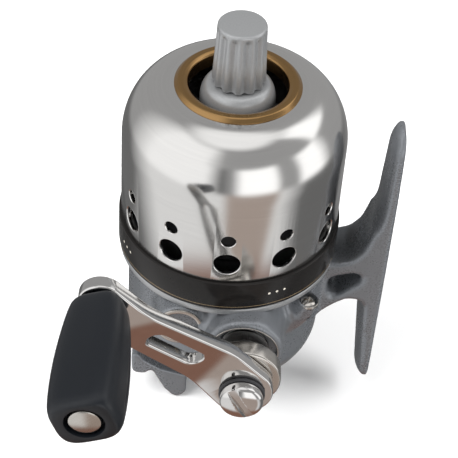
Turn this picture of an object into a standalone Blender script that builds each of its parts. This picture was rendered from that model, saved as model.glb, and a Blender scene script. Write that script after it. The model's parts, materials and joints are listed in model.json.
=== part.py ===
"""Small spincast reel: closed-face fishing reel with a rear thumb lever and a front drag knob.

The main axis runs along +Z towards the nose. The rod foot faces +X and the crank faces -Y.
The row origin is the centre of the foot's flat seat; everything else hangs from empties on
the main axis and on the crank axis. Lengths are written in millimetres times MM.
"""

import math

import bmesh
import bpy
from mathutils import Matrix

MM = 0.001

# Clearances
GAP = 0.3 * MM  # between faces of neighbouring pieces that touch
RUN = 0.12 * MM  # radial, between a shaft and its bore
CUT = 1.0 * MM  # how far a cutter runs past the face it opens

# Place of the foot
FOOT_REACH = 30.1 * MM  # main axis to the seat plane
SEAT_Z = -8.0 * MM  # height of the seat's centre beside the cover's lower edge

# Front cover and what is on it
COVER_RADIUS = 20.0 * MM
COVER_WALL = 1.4 * MM
COVER_STRAIGHT = 17.25 * MM  # height of the straight wall
COVER_HEIGHT = 28.4 * MM
MOUTH_RADIUS = 8.7 * MM
RING_RADIUS = 11.1 * MM
RING_RISE = 0.8 * MM
BAND_HEIGHT = 6.46 * MM
BAND_PROUD = 0.4 * MM
BAND_WALL = 1.0 * MM
SKIRT_WALL = 0.9 * MM
VENT_PAIRS = 12
VENT_BIG_RADIUS = 2.33 * MM
VENT_BIG_Z = 4.38 * MM
VENT_SMALL_RADIUS = 1.25 * MM
VENT_SMALL_Z = 9.78 * MM

# Body casting
BODY_RADIUS = 18.5 * MM
BODY_WALL = 2.1 * MM
BODY_STRAIGHT_Z = -25.0 * MM  # where the rounded rear starts
BODY_REAR_Z = -35.3 * MM
BODY_REAR_POWER = 2.5  # squareness of the rounded rear
LIP_RADIUS = 20.2 * MM
LIP_HEIGHT = 1.4 * MM
SPIGOT_TOP_Z = -1.0 * MM

# Screw lugs round the body
LUG_ANGLES = [math.radians(angle) for angle in (-43.0, 43.0, 137.0)]
LUG_CIRCLE = 21.0 * MM
LUG_RADIUS = 3.0 * MM
LUG_STRAIGHT = 4.5 * MM
LUG_LENGTH = 11.0 * MM
LUG_TOP_Z = -8.9 * MM
LUG_RECESS = 0.9 * MM
LUG_OPENING = 0.5 * MM  # room over a lug, under the lip
SCREW_HEAD_RADIUS = 1.4 * MM
SCREW_SHANK_RADIUS = 0.9 * MM
SCREW_LENGTH = 3.0 * MM

# Foot and stem
FOOT_FRONT_Z = 21.5 * MM
FOOT_REAR_Z = -41.6 * MM
FOOT_THICKNESS = 2.7 * MM
FOOT_WIDTH = 10.8 * MM
FOOT_TIP_WIDTH = 8.4 * MM
FOOT_TIP_ROUND = 2.8 * MM  # how far back the rounding of a tip reaches
TONGUE_TAPER = 14.0 * MM
STEM_ROOT_X = 16.9 * MM
STEM_WINDOW = [(24.4 * MM, -10.4 * MM), (25.9 * MM, -11.3 * MM), (25.7 * MM, -12.6 * MM),
               (19.7 * MM, -18.2 * MM), (19.5 * MM, -11.9 * MM)]

# Crank axis and gear train
CRANK_X = 4.08 * MM
CRANK_Z = -14.6 * MM
CRANK_SHAFT_RADIUS = 2.3 * MM
BOSS_RADIUS = 7.3 * MM
BOSS_REACH = 22.9 * MM
BOSS_RECESS_RADIUS = 6.2 * MM
BOSS_RECESS_DEPTH = 1.5 * MM
SIDE_BOSS_RADIUS = 4.6 * MM
SIDE_BOSS_X = -7.8 * MM
SIDE_BOSS_Z = -12.5 * MM
SIDE_BOSS_REACH = 19.6 * MM
FAR_BOSS_RADIUS = 6.4 * MM
FAR_BOSS_REACH = 20.4 * MM
BUSH_RADIUS = 4.2 * MM
BUSH_LENGTH = 5.5 * MM
GEAR_TEETH = 28
PINION_TEETH = 8
PINION_PITCH_RADIUS = 2.36 * MM
PINION_TIP_RADIUS = 2.76 * MM
PINION_ROOT_RADIUS = 1.85 * MM
PINION_TOOTH_ROOT = 0.38 * MM
PINION_TOOTH_TIP = 0.14 * MM
GEAR_TOOTH_ROOT = 0.26 * MM
GEAR_TOOTH_TIP = 0.10 * MM
GEAR_TOOTH_ENGAGE = 0.4 * MM
GEAR_TOOTH_HEIGHT = 2.7 * MM
GEAR_DISC = 1.9 * MM
GEAR_FACE = 2.0 * MM
RATCHET_TEETH = 12
RATCHET_RADIUS = 6.2 * MM
RATCHET_DEPTH = 1.1 * MM
RATCHET_THICKNESS = 1.6 * MM
PAWL_X = 8.0 * MM
PAWL_Y = -5.0 * MM
PAWL_RADIUS = 1.5 * MM
PAWL_PIN_RADIUS = 0.7 * MM

# Crank arm and grip, lengths outward from the main axis
HUB_CUP_RADIUS = 6.85 * MM
HUB_CUP_BACK = 25.8 * MM
HUB_NECK_RADIUS = 4.6 * MM
ARM_FRONT = 32.45 * MM
ARM_THICKNESS = 2.7 * MM
ARM_LENGTH = 36.2 * MM
ARM_ANGLE = math.radians(131.5)
ARM_FOLD_1 = 8.3 * MM
ARM_FOLD_2 = 29.1 * MM
ARM_RISE = 6.5 * MM
ARM_HUB_HALF = 5.5 * MM
ARM_END_HALF = 3.75 * MM
ARM_SLOT = (11.6 * MM, 24.2 * MM)
ARM_SLOT_HALF = 1.75 * MM
SEAL_RADIUS = 4.1 * MM
SEAL_THICKNESS = 0.6 * MM
CRANK_SCREW_RADIUS = 3.83 * MM
CRANK_SCREW_RISE = 2.3 * MM
CRANK_SCREW_SLOT = 0.9 * MM
CRANK_SCREW_SHANK = 1.2 * MM
CRANK_SCREW_LENGTH = 8.0 * MM
GRIP_LENGTH = 24.4 * MM
GRIP_BROAD = 11.2 * MM
GRIP_THIN = 10.0 * MM
GRIP_TURN = math.radians(20.0)
GRIP_ROUNDNESS = 0.6  # 1 is an ellipse, less is squarer
GRIP_RECESS_DEPTH = 1.7 * MM
GRIP_RECESS_RADIUS = 3.15 * MM
RIVET_HEAD_RADIUS = 2.67 * MM
RIVET_RADIUS = 1.3 * MM
RIVET_HEAD = 1.0 * MM

# Centre shaft and what turns on the main axis
SHAFT_RADIUS = 1.2 * MM
SHAFT_REAR_Z = -28.6 * MM
SHAFT_FRONT_Z = 38.0 * MM
PUSH = 3.2 * MM  # travel of the shaft when the lever is pressed
SLEEVE_RADIUS = 2.4 * MM
SLEEVE_ROOT = 0.2 * MM  # how far the sleeve reaches into the teeth
DECK_TOP_Z = -1.3 * MM
DECK_THICKNESS = 1.6 * MM
HUB_BORE_RADIUS = 3.6 * MM
HUB_RADIUS = 5.0 * MM
HUB_TOP_Z = 9.0 * MM
SPOOL_FLANGE_RADIUS = 13.2 * MM
SPOOL_CORE_RADIUS = 8.0 * MM
SPOOL_FLANGE = 0.9 * MM
HEAD_RADIUS = 16.2 * MM
HEAD_WALL = 0.9 * MM
HEAD_RIM_Z = 3.0 * MM
WEB_BACK_Z = 13.2 * MM
WEB_THICKNESS = 1.5 * MM
DRAG_DISC_RADIUS = 5.2 * MM
DRAG_DISC = 1.0 * MM
FELT = 0.6 * MM
DOME_RADIUS = 6.6 * MM
DOME_WALL = 1.0 * MM
DOME_STRAIGHT_Z = 25.8 * MM
DOME_TOP_Z = 29.1 * MM
DOME_TOP_RADIUS = 4.7 * MM
DRAG_SPRING_RADIUS = 3.0 * MM
DRAG_SPRING_WIRE = 0.45 * MM
DRAG_SPRING_LENGTH = 5.0 * MM
NUT_FLANGE_RADIUS = 3.8 * MM
NUT_FLANGE = 0.8 * MM
NUT_RADIUS = 2.0 * MM
NUT_LENGTH = 3.9 * MM
NUT_TRAVEL = 0.7 * MM
TAIL_RADIUS = 3.1 * MM
KNOB_TOP_Z = 41.0 * MM
KNOB_TOP_RADIUS = 4.2 * MM
KNOB_BASE_RADIUS = 4.67 * MM
KNOB_FLUTES = 12
KNOB_FLUTE_DEPTH = 0.35 * MM
PIN_RADIUS = 0.8 * MM
PIN_INNER = 9.0 * MM
PIN_OUTER = 17.3 * MM

# Thumb lever
LEVER_PIVOT_X = -13.0 * MM
LEVER_PIVOT_Z = -29.0 * MM
LEVER_ARM_WIDTH = 4.4 * MM
LEVER_PAD_WIDTH = 13.4 * MM
LEVER_NOSE_RADIUS = 1.5 * MM
LEVER_HUB_RADIUS = 1.6 * MM
LEVER_PIN_RADIUS = 0.8 * MM
LEVER_LUG = 1.0 * MM

# Worked-out places
BAND_RADIUS = COVER_RADIUS + BAND_PROUD
SKIRT_RADIUS = BAND_RADIUS - BAND_WALL - GAP
SKIRT_INNER = SKIRT_RADIUS - SKIRT_WALL
COVER_INNER = COVER_RADIUS - COVER_WALL
LIP_TOP_Z = -BAND_HEIGHT - GAP
LIP_BOTTOM_Z = LIP_TOP_Z - LIP_HEIGHT
SPIGOT_RADIUS = SKIRT_INNER - GAP
BODY_INNER = BODY_RADIUS - BODY_WALL
PINION_BORE = SHAFT_RADIUS + RUN
GEAR_MESH = PINION_PITCH_RADIUS * GEAR_TEETH / PINION_TEETH
GEAR_TOOTH_TOP = PINION_PITCH_RADIUS - GEAR_TOOTH_ENGAGE
GEAR_BACK = GEAR_TOOTH_TOP + GEAR_TOOTH_HEIGHT
GEAR_FRONT = GEAR_BACK + GEAR_DISC
GEAR_RADIUS = math.hypot(GEAR_MESH + GEAR_FACE / 2, CRANK_X)
PINION_TOP_Z = CRANK_Z + GEAR_MESH + GEAR_FACE / 2 + GAP
PINION_BACK_Z = CRANK_Z + GEAR_MESH - GEAR_FACE / 2 - GAP
RATCHET_BACK = GEAR_FRONT + GAP
ARM_BACK = ARM_FRONT - ARM_THICKNESS
HUB_CUP_FRONT = ARM_BACK - GAP
BUSH_FRONT = BOSS_REACH - BOSS_RECESS_DEPTH - GAP
SEAL_BACK = ARM_FRONT + GAP
SCREW_SEAT = SEAL_BACK + SEAL_THICKNESS + GAP
GRIP_BACK = ARM_FRONT + ARM_RISE + 0.4 * MM
GRIP_FRONT = GRIP_BACK + GRIP_LENGTH
WEB_FRONT_Z = WEB_BACK_Z + WEB_THICKNESS
DRAG_DISC_Z = WEB_BACK_Z - GAP - FELT - GAP - DRAG_DISC
PRESSURE_Z = WEB_FRONT_Z + GAP + FELT + GAP
DRAG_SPRING_Z = PRESSURE_Z + DRAG_DISC + GAP
NUT_Z = DRAG_SPRING_Z + DRAG_SPRING_LENGTH + GAP
NUT_TOP_Z = NUT_Z + NUT_LENGTH
TAIL_Z = NUT_Z + NUT_FLANGE + NUT_TRAVEL + GAP
TAIL_BORE_TOP_Z = NUT_TOP_Z + NUT_TRAVEL + GAP
KNOB_Z = DOME_TOP_Z + GAP
CLIP_Z = 3.2 * MM
CLIP_THICKNESS = 0.6 * MM
BUSH_TOP_Z = 2.0 * MM
PIN_Z = WEB_BACK_Z - PIN_RADIUS - 0.7 * MM

FINISHES = {
    "cover_metal": ((0.76, 0.75, 0.74), 0.22, 1.0),
    "line_ring_gold": ((0.52, 0.33, 0.14), 0.25, 1.0),
    "band_black": ((0.025, 0.024, 0.023), 0.2, 0.0),
    "cast_silver": ((0.30, 0.31, 0.32), 0.42, 0.6),
    "chrome": ((0.72, 0.72, 0.72), 0.12, 1.0),
    "nickel": ((0.62, 0.60, 0.58), 0.28, 1.0),
    "grip_rubber": ((0.024, 0.027, 0.032), 0.5, 0.0),
    "knob_silver": ((0.34, 0.36, 0.36), 0.38, 0.5),
    "steel": ((0.55, 0.55, 0.55), 0.3, 1.0),
    "brass": ((0.62, 0.45, 0.20), 0.32, 1.0),
    "black_plastic": ((0.03, 0.03, 0.032), 0.45, 0.0),
    "felt": ((0.25, 0.22, 0.18), 0.95, 0.0),
}

AXIS_NAME = "main_axis"
CRANK_NAME = "crank_axis"
GRIP_NAME = "grip_axis"


def clear_scene():
    for obj in list(bpy.data.objects):
        bpy.data.objects.remove(obj, do_unlink=True)


def new_collection(name):
    collection = bpy.data.collections.new(name)
    bpy.context.scene.collection.children.link(collection)
    return collection


def new_empty(name, location, rotation, parent, collection):
    empty = bpy.data.objects.new(name, None)
    empty.location = location
    empty.rotation_euler = rotation
    empty.parent = parent
    collection.objects.link(empty)
    return empty


def material_for(finish):
    material = bpy.data.materials.get(finish)
    if material is None:
        colour, roughness, metallic = FINISHES[finish]
        material = bpy.data.materials.new(finish)
        material.use_nodes = True
        shader = material.node_tree.nodes["Principled BSDF"]
        shader.inputs["Base Color"].default_value = (*colour, 1.0)
        shader.inputs["Roughness"].default_value = roughness
        shader.inputs["Metallic"].default_value = metallic
    return material


class Bench:
    """Where pieces are made: the reel's own collection, the cutters' one, and the axes."""

    def __init__(self):
        self.parts = new_collection("spincast_reel")
        self.tools = new_collection("cutters")
        shift = (-FOOT_REACH, 0.0, -SEAT_Z)
        self.axis = new_empty(AXIS_NAME, shift, (0, 0, 0), None, self.parts)
        outward = (math.pi / 2, 0, 0)
        crank_at = (CRANK_X, 0, CRANK_Z)
        self.crank = new_empty(CRANK_NAME, crank_at, outward, self.axis, self.parts)
        grip_at = (ARM_LENGTH * math.cos(ARM_ANGLE), ARM_LENGTH * math.sin(ARM_ANGLE), 0)
        self.grip = new_empty(GRIP_NAME, grip_at, (0, 0, 0), self.crank, self.parts)

    def place(self, name, data, parent, finish=None, at=(0, 0, 0), turn=(0, 0, 0)):
        """A piece when it has a finish, and a cutter or helper when it has none."""
        obj = bpy.data.objects.new(name, data)
        obj.location = at
        obj.rotation_euler = turn
        obj.parent = parent
        if finish is None:
            obj.hide_render = True
            obj.display_type = "WIRE"
            self.tools.objects.link(obj)
        else:
            data.materials.append(material_for(finish))
            self.parts.objects.link(obj)
        return obj


def mesh_from(name, bm):
    mesh = bpy.data.meshes.new(name)
    bm.to_mesh(mesh)
    bm.free()
    mesh.shade_smooth()
    mesh.set_sharp_from_angle(angle=math.radians(35))
    return mesh


def turned(bench, name, profile, finish, parent, steps=32, ring=True, at=(0, 0, 0), turn=(0, 0, 0)):
    """A turned piece. The profile lists (radius, height), down the outer side first."""
    bm = bmesh.new()
    verts = [bm.verts.new((radius, 0, height)) for radius, height in profile]
    pairs = list(zip(verts, verts[1:]))
    if ring:
        pairs.append((verts[-1], verts[0]))
    for pair in pairs:
        bm.edges.new(pair)
    mesh = bpy.data.meshes.new(name)
    bm.to_mesh(mesh)
    bm.free()
    obj = bench.place(name, mesh, parent, finish, at, turn)
    screw = obj.modifiers.new("turn", "SCREW")
    screw.steps = steps
    screw.render_steps = steps
    screw.use_merge_vertices = True
    screw.merge_threshold = 0.00001
    return obj


def tube(bench, name, outer, inner, low, high, finish, parent, steps=20, **where):
    profile = [(outer, high), (outer, low), (inner, low), (inner, high)]
    return turned(bench, name, profile, finish, parent, steps, **where)


def rod(bench, name, radius, low, high, finish, parent, sides=20, **where):
    bm = bmesh.new()
    middle = Matrix.Translation((0, 0, (low + high) / 2))
    bmesh.ops.create_cone(bm, cap_ends=True, segments=sides, radius1=radius, radius2=radius,
                          depth=high - low, matrix=middle)
    return bench.place(name, mesh_from(name, bm), parent, finish, **where)


def block(bench, name, low, high, finish, parent, **where):
    bm = bmesh.new()
    size = [b - a for a, b in zip(low, high)]
    middle = [(a + b) / 2 for a, b in zip(low, high)]
    matrix = Matrix.Translation(middle) @ Matrix.Diagonal((*size, 1))
    bmesh.ops.create_cube(bm, size=1.0, matrix=matrix)
    return bench.place(name, mesh_from(name, bm), parent, finish, **where)


def plate(bench, name, outlines, low, high, finish, parent, **where):
    """Flat outlines, the first outside and the rest holes, given a thickness along local Z."""
    curve = bpy.data.curves.new(name, "CURVE")
    curve.dimensions = "2D"
    curve.fill_mode = "BOTH"
    curve.extrude = (high - low) / 2
    for outline in outlines:
        spline = curve.splines.new("POLY")
        spline.points.add(len(outline) - 1)
        for point, (x, y) in zip(spline.points, outline):
            point.co = (x, y, 0, 1)
        spline.use_cyclic_u = True
    guide = bpy.data.objects.new(name + "_outline", curve)
    bench.tools.objects.link(guide)
    graph = bpy.context.evaluated_depsgraph_get()
    flat = bpy.data.meshes.new_from_object(guide.evaluated_get(graph))
    bpy.data.objects.remove(guide, do_unlink=True)
    bm = bmesh.new()
    bm.from_mesh(flat)
    bmesh.ops.remove_doubles(bm, verts=bm.verts, dist=0.000001)
    bmesh.ops.translate(bm, verts=bm.verts, vec=(0, 0, (low + high) / 2))
    bmesh.ops.recalc_face_normals(bm, faces=bm.faces)
    return bench.place(name, mesh_from(name, bm), parent, finish, **where)


def loft(bench, name, sections, finish, parent, **where):
    """A closed skin through rings of points that all have the same count."""
    bm = bmesh.new()
    rings = [[bm.verts.new(point) for point in section] for section in sections]
    count = len(rings[0])
    for below, above in zip(rings, rings[1:]):
        for i in range(count):
            j = (i + 1) % count
            bm.faces.new((below[i], below[j], above[j], above[i]))
    bm.faces.new(reversed(rings[0]))
    bm.faces.new(rings[-1])
    bmesh.ops.recalc_face_normals(bm, faces=bm.faces)
    return bench.place(name, mesh_from(name, bm), parent, finish, **where)


def coil(bench, name, radius, wire, low, high, turns, finish, parent, points_per_turn=9):
    """A wire spring whose wire stays between low and high."""
    curve = bpy.data.curves.new(name, "CURVE")
    curve.dimensions = "3D"
    curve.bevel_depth = wire
    curve.bevel_resolution = 2
    curve.use_fill_caps = True
    spline = curve.splines.new("POLY")
    count = turns * points_per_turn + 1
    spline.points.add(count - 1)
    for i, point in enumerate(spline.points):
        share = i / (count - 1)
        angle = 2 * math.pi * turns * share
        height = low + wire + (high - low - 2 * wire) * share
        point.co = (radius * math.cos(angle), radius * math.sin(angle), height, 1)
    return bench.place(name, curve, parent, finish)


def boolean(obj, other, operation):
    modifier = obj.modifiers.new(f"{operation.lower()}_{other.name}", "BOOLEAN")
    modifier.operation = operation
    modifier.object = other
    modifier.solver = "EXACT"


def cut(obj, *others):
    for other in others:
        boolean(obj, other, "DIFFERENCE")


def join(obj, *others):
    for other in others:
        boolean(obj, other, "UNION")


def on_circle(radius, angle):
    return (radius * math.cos(angle), radius * math.sin(angle))


def squared_arc(radius, inner, high, low, power, count):
    """Points of a rounded corner from (radius, high) to (inner, low)."""
    points = []
    for i in range(count + 1):
        angle = math.pi / 2 * i / count
        across = math.cos(angle) ** (2 / power)
        down = math.sin(angle) ** (2 / power)
        points.append((inner + (radius - inner) * across, high + (low - high) * down))
    return points


def toothed_outline(teeth, root, tip, half_root, half_tip, phase):
    points = []
    for i in range(teeth):
        middle = phase + 2 * math.pi * i / teeth
        for radius, half in ((root, -half_root), (tip, -half_tip), (tip, half_tip), (root, half_root)):
            points.append(on_circle(radius, middle + math.asin(half / radius)))
    return points


def stadium(half_length, half_width, count=6):
    points = []
    for side, start in ((half_length, -math.pi / 2), (-half_length, math.pi / 2)):
        for i in range(count + 1):
            x, y = on_circle(half_width, start + math.pi * i / count)
            points.append((x + side, y))
    return points


def build_front_cover(bench):
    """Drawn metal cover with its vent holes, then the band and the line ring that it carries."""
    top_inner = COVER_HEIGHT - 1.05 * MM
    seat = MOUTH_RADIUS + 0.9 * MM
    outer = squared_arc(COVER_RADIUS, RING_RADIUS - 0.2 * MM, COVER_STRAIGHT, COVER_HEIGHT, 2.05, 6)
    inner = squared_arc(COVER_INNER, RING_RADIUS - 0.2 * MM, COVER_STRAIGHT, top_inner, 2.05, 5)
    profile = [(seat, COVER_HEIGHT - GAP), (RING_RADIUS - 0.4 * MM, COVER_HEIGHT - GAP)]
    profile += outer[-2::-1]
    profile += [(COVER_RADIUS, 0), (SKIRT_RADIUS, 0), (SKIRT_RADIUS, -BAND_HEIGHT)]
    profile += [(SKIRT_INNER, -BAND_HEIGHT), (SKIRT_INNER, 1.0 * MM), (COVER_INNER, 1.5 * MM)]
    profile += inner
    profile += [(seat, top_inner)]
    cover = turned(bench, "front_cover", profile, "cover_metal", bench.axis, 40)
    cut(cover, vent_cutter(bench))
    band_top = -GAP / 2
    tube(bench, "label_band", BAND_RADIUS, BAND_RADIUS - BAND_WALL, -BAND_HEIGHT, band_top,
         "band_black", bench.axis, 40)
    bead_low = COVER_HEIGHT
    sleeve = MOUTH_RADIUS + 0.55 * MM
    bead_middle = (MOUTH_RADIUS + RING_RADIUS) / 2
    bead_half = (RING_RADIUS - MOUTH_RADIUS) / 2
    bead = []
    for i in range(6):
        angle = math.pi * i / 5
        bead.append((bead_middle - bead_half * math.cos(angle), bead_low + RING_RISE * math.sin(angle)))
    ring = bead[1:] + [(sleeve, bead_low), (sleeve, bead_low - 2.0 * MM)]
    ring += [(MOUTH_RADIUS, bead_low - 2.0 * MM), (MOUTH_RADIUS, bead_low)]
    turned(bench, "line_ring", ring, "line_ring_gold", bench.axis, 36)


def vent_cutter(bench):
    """One mesh of all the radial vent cutters."""
    bm = bmesh.new()
    sizes = ((VENT_BIG_RADIUS, VENT_BIG_Z, 12), (VENT_SMALL_RADIUS, VENT_SMALL_Z, 8))
    for pair in range(VENT_PAIRS):
        around = Matrix.Rotation(2 * math.pi * pair / VENT_PAIRS - math.pi / 2, 4, "Z")
        for radius, height, sides in sizes:
            outward = Matrix.Translation((COVER_RADIUS, 0, height)) @ Matrix.Rotation(math.pi / 2, 4, "Y")
            bmesh.ops.create_cone(bm, cap_ends=True, segments=sides, radius1=radius, radius2=radius,
                                  depth=2 * (COVER_WALL + CUT), matrix=around @ outward)
    return bench.place("vent_cutters", mesh_from("vent_cutters", bm), bench.axis)


def bowl_profile(radius, rear_z):
    return squared_arc(radius, 0.0, BODY_STRAIGHT_Z, rear_z, BODY_REAR_POWER, 6)


def build_body(bench):
    """Die-cast body: bowl, crank boss, screw lugs, lever lugs, stem and foot in one casting."""
    profile = [(0, SPIGOT_TOP_Z), (SPIGOT_RADIUS, SPIGOT_TOP_Z), (SPIGOT_RADIUS, LIP_TOP_Z)]
    profile += [(LIP_RADIUS, LIP_TOP_Z), (LIP_RADIUS, LIP_BOTTOM_Z), (BODY_RADIUS, LIP_BOTTOM_Z - 0.8 * MM)]
    profile += bowl_profile(BODY_RADIUS, BODY_REAR_Z)
    body = turned(bench, "body", profile, "cast_silver", bench.axis, 40, ring=False)
    boss = rod(bench, "boss_form", BOSS_RADIUS, BODY_INNER * 0.6, BOSS_REACH, None, bench.crank, 32)
    side_at = (SIDE_BOSS_X - CRANK_X, SIDE_BOSS_Z - CRANK_Z, 0)
    side = rod(bench, "side_boss_form", SIDE_BOSS_RADIUS, BODY_INNER * 0.6, SIDE_BOSS_REACH, None,
               bench.crank, 24, at=side_at)
    far = rod(bench, "far_boss_form", FAR_BOSS_RADIUS, -FAR_BOSS_REACH, -BODY_INNER * 0.6, None,
              bench.crank, 24)
    join(body, boss, side, far, *lug_forms(bench), foot_form(bench))
    hollow = [(0, SPIGOT_TOP_Z + CUT), (BODY_INNER, SPIGOT_TOP_Z + CUT)]
    hollow += bowl_profile(BODY_INNER, BODY_REAR_Z + BODY_WALL)
    cut(body, turned(bench, "body_hollow", hollow, None, bench.axis, 40, ring=False))
    join(body, *lever_lug_forms(bench))
    cut(body, *body_cutters(bench))


def lug_forms(bench):
    forms = []
    for i, angle in enumerate(LUG_ANGLES):
        x, y = on_circle(LUG_CIRCLE, angle)
        inner_x, inner_y = on_circle(BODY_INNER - LUG_RADIUS / 2, angle)
        sections = []
        for share, drop in ((1.0, 0.0), (0.85, LUG_STRAIGHT), (0.0, LUG_LENGTH)):
            centre_x = inner_x + (x - inner_x) * share
            centre_y = inner_y + (y - inner_y) * share
            height = LUG_TOP_Z - drop
            sections.append([(centre_x + dx, centre_y + dy, height)
                             for dx, dy in (on_circle(LUG_RADIUS, math.pi * k / 8) for k in range(16))])
        forms.append(loft(bench, f"lug_form_{i}", sections, None, bench.axis))
    return forms


def foot_form(bench):
    """Stem, window and both tongues from their side outline, cut to rounded tongues from above."""
    half = FOOT_WIDTH / 2
    outline = foot_front_outline() + foot_rear_outline()
    foot = plate(bench, "foot_form", [outline, STEM_WINDOW], -half, half, None, bench.axis,
                 turn=(math.pi / 2, 0, 0))
    boolean(foot, tongue_form(bench), "INTERSECT")
    return foot


def foot_front_outline():
    """Side outline in X and Z from the body's upper side to the front tip and back to the seat."""
    tip = FOOT_FRONT_Z
    upper = [(STEM_ROOT_X, -8.4 * MM), (20.4 * MM, -8.2 * MM), (23.0 * MM, -7.4 * MM)]
    upper += [(25.0 * MM, -5.0 * MM), (26.2 * MM, -1.0 * MM), (26.9 * MM, 5.0 * MM)]
    front = [(FOOT_REACH - FOOT_THICKNESS, tip - 3.5 * MM), (FOOT_REACH - 1.9 * MM, tip)]
    return upper + front + [(FOOT_REACH - 0.5 * MM, tip), (FOOT_REACH, tip - 1.2 * MM)]


def foot_rear_outline():
    """Side outline from the seat's rear end round the rear tip to the stem's lower side."""
    tip = FOOT_REAR_Z
    rear = [(FOOT_REACH, tip + 1.2 * MM), (FOOT_REACH - 0.5 * MM, tip), (FOOT_REACH - 1.9 * MM, tip)]
    rear += [(FOOT_REACH - FOOT_THICKNESS, tip + 2.5 * MM), (25.9 * MM, -18.6 * MM), (25.0 * MM, -17.3 * MM)]
    return rear + [(23.2 * MM, -17.4 * MM), (20.2 * MM, -19.8 * MM), (17.8 * MM, -22.6 * MM),
                   (STEM_ROOT_X, -23.4 * MM)]


def tongue_form(bench):
    """What the rod sees of the foot: two tapered tongues with round tips, deep enough for the stem."""
    outline = []
    middle_half = FOOT_WIDTH / 2 + CUT
    tip_half = FOOT_TIP_WIDTH / 2
    for tip_z, side in ((FOOT_FRONT_Z, 1), (FOOT_REAR_Z, -1)):
        shoulder = tip_z - side * TONGUE_TAPER
        outline.append((-side * middle_half, shoulder))
        for i in range(9):
            angle = math.pi * (i / 8 - 0.5)
            back = FOOT_TIP_ROUND * (1 - math.cos(angle))
            outline.append((side * tip_half * math.sin(angle), tip_z - side * back))
        outline.append((side * middle_half, shoulder))
    return plate(bench, "tongue_form", [outline], STEM_ROOT_X - CUT, FOOT_REACH + CUT, None, bench.axis,
                 turn=(math.pi / 2, 0, math.pi / 2))


def lever_lug_forms(bench):
    """Two inner lugs that hold the lever's pin."""
    forms = []
    inner = LEVER_ARM_WIDTH / 2 + GAP
    for side in (-1, 1):
        near, far = side * inner, side * (inner + LEVER_LUG)
        low = (LEVER_PIVOT_X - 1.6 * MM, min(near, far), LEVER_PIVOT_Z - 4.0 * MM)
        high = (LEVER_PIVOT_X + 2.2 * MM, max(near, far), LEVER_PIVOT_Z + 1.7 * MM)
        forms.append(block(bench, f"lever_lug_{side + 1}", low, high, None, bench.axis))
    return forms


def body_cutters(bench):
    cutters = []
    bore = BUSH_RADIUS + GAP
    cutters.append(rod(bench, "crank_bore", bore, -FAR_BOSS_REACH - CUT, BOSS_REACH + CUT, None,
                       bench.crank, 24))
    cutters.append(rod(bench, "boss_recess", BOSS_RECESS_RADIUS, BOSS_REACH - BOSS_RECESS_DEPTH,
                       BOSS_REACH + CUT, None, bench.crank, 32))
    cutters.append(rod(bench, "pawl_pin_hole", PAWL_PIN_RADIUS + RUN, GEAR_FRONT, 12.4 * MM, None,
                       bench.crank, 12, at=(PAWL_X, PAWL_Y, 0)))
    slot_half = LEVER_ARM_WIDTH / 2 + GAP
    slot_low = (LEVER_PIVOT_X - 4.6 * MM, -slot_half, BODY_REAR_Z - CUT)
    slot_high = (LEVER_PIVOT_X + 5.5 * MM, slot_half, LEVER_PIVOT_Z - 0.2 * MM)
    cutters.append(block(bench, "lever_slot", slot_low, slot_high, None, bench.axis))
    across = (math.pi / 2, 0, 0)
    pin_half = LEVER_ARM_WIDTH / 2 + GAP + LEVER_LUG + CUT
    cutters.append(rod(bench, "lever_pin_hole", LEVER_PIN_RADIUS + RUN, -pin_half, pin_half, None,
                       bench.axis, 16, at=(LEVER_PIVOT_X, 0, LEVER_PIVOT_Z), turn=across))
    recess_z = LUG_TOP_Z - LUG_RECESS
    for i, angle in enumerate(LUG_ANGLES):
        x, y = on_circle(LUG_CIRCLE, angle)
        cutters.append(rod(bench, f"lug_recess_{i}", SCREW_HEAD_RADIUS + GAP, recess_z, LUG_TOP_Z + LUG_OPENING,
                           None, bench.axis, 16, at=(x, y, 0)))
        cutters.append(rod(bench, f"lug_hole_{i}", SCREW_SHANK_RADIUS + RUN,
                           recess_z - SCREW_LENGTH - GAP, recess_z + CUT, None, bench.axis, 12,
                           at=(x, y, 0)))
    return cutters


def build_lug_screws(bench):
    seat = LUG_TOP_Z - LUG_RECESS + GAP / 2
    for i, angle in enumerate(LUG_ANGLES):
        x, y = on_circle(LUG_CIRCLE, angle)
        head_top = seat + 0.9 * MM
        profile = [(0, head_top), (SCREW_HEAD_RADIUS * 0.7, head_top - 0.1 * MM)]
        profile += [(SCREW_HEAD_RADIUS, head_top - 0.45 * MM), (SCREW_HEAD_RADIUS, seat)]
        profile += [(SCREW_SHANK_RADIUS, seat), (SCREW_SHANK_RADIUS, seat - SCREW_LENGTH)]
        profile += [(0, seat - SCREW_LENGTH)]
        turned(bench, f"body_screw_{i + 1}", profile, "nickel", bench.axis, 16, ring=False, at=(x, y, 0))


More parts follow.
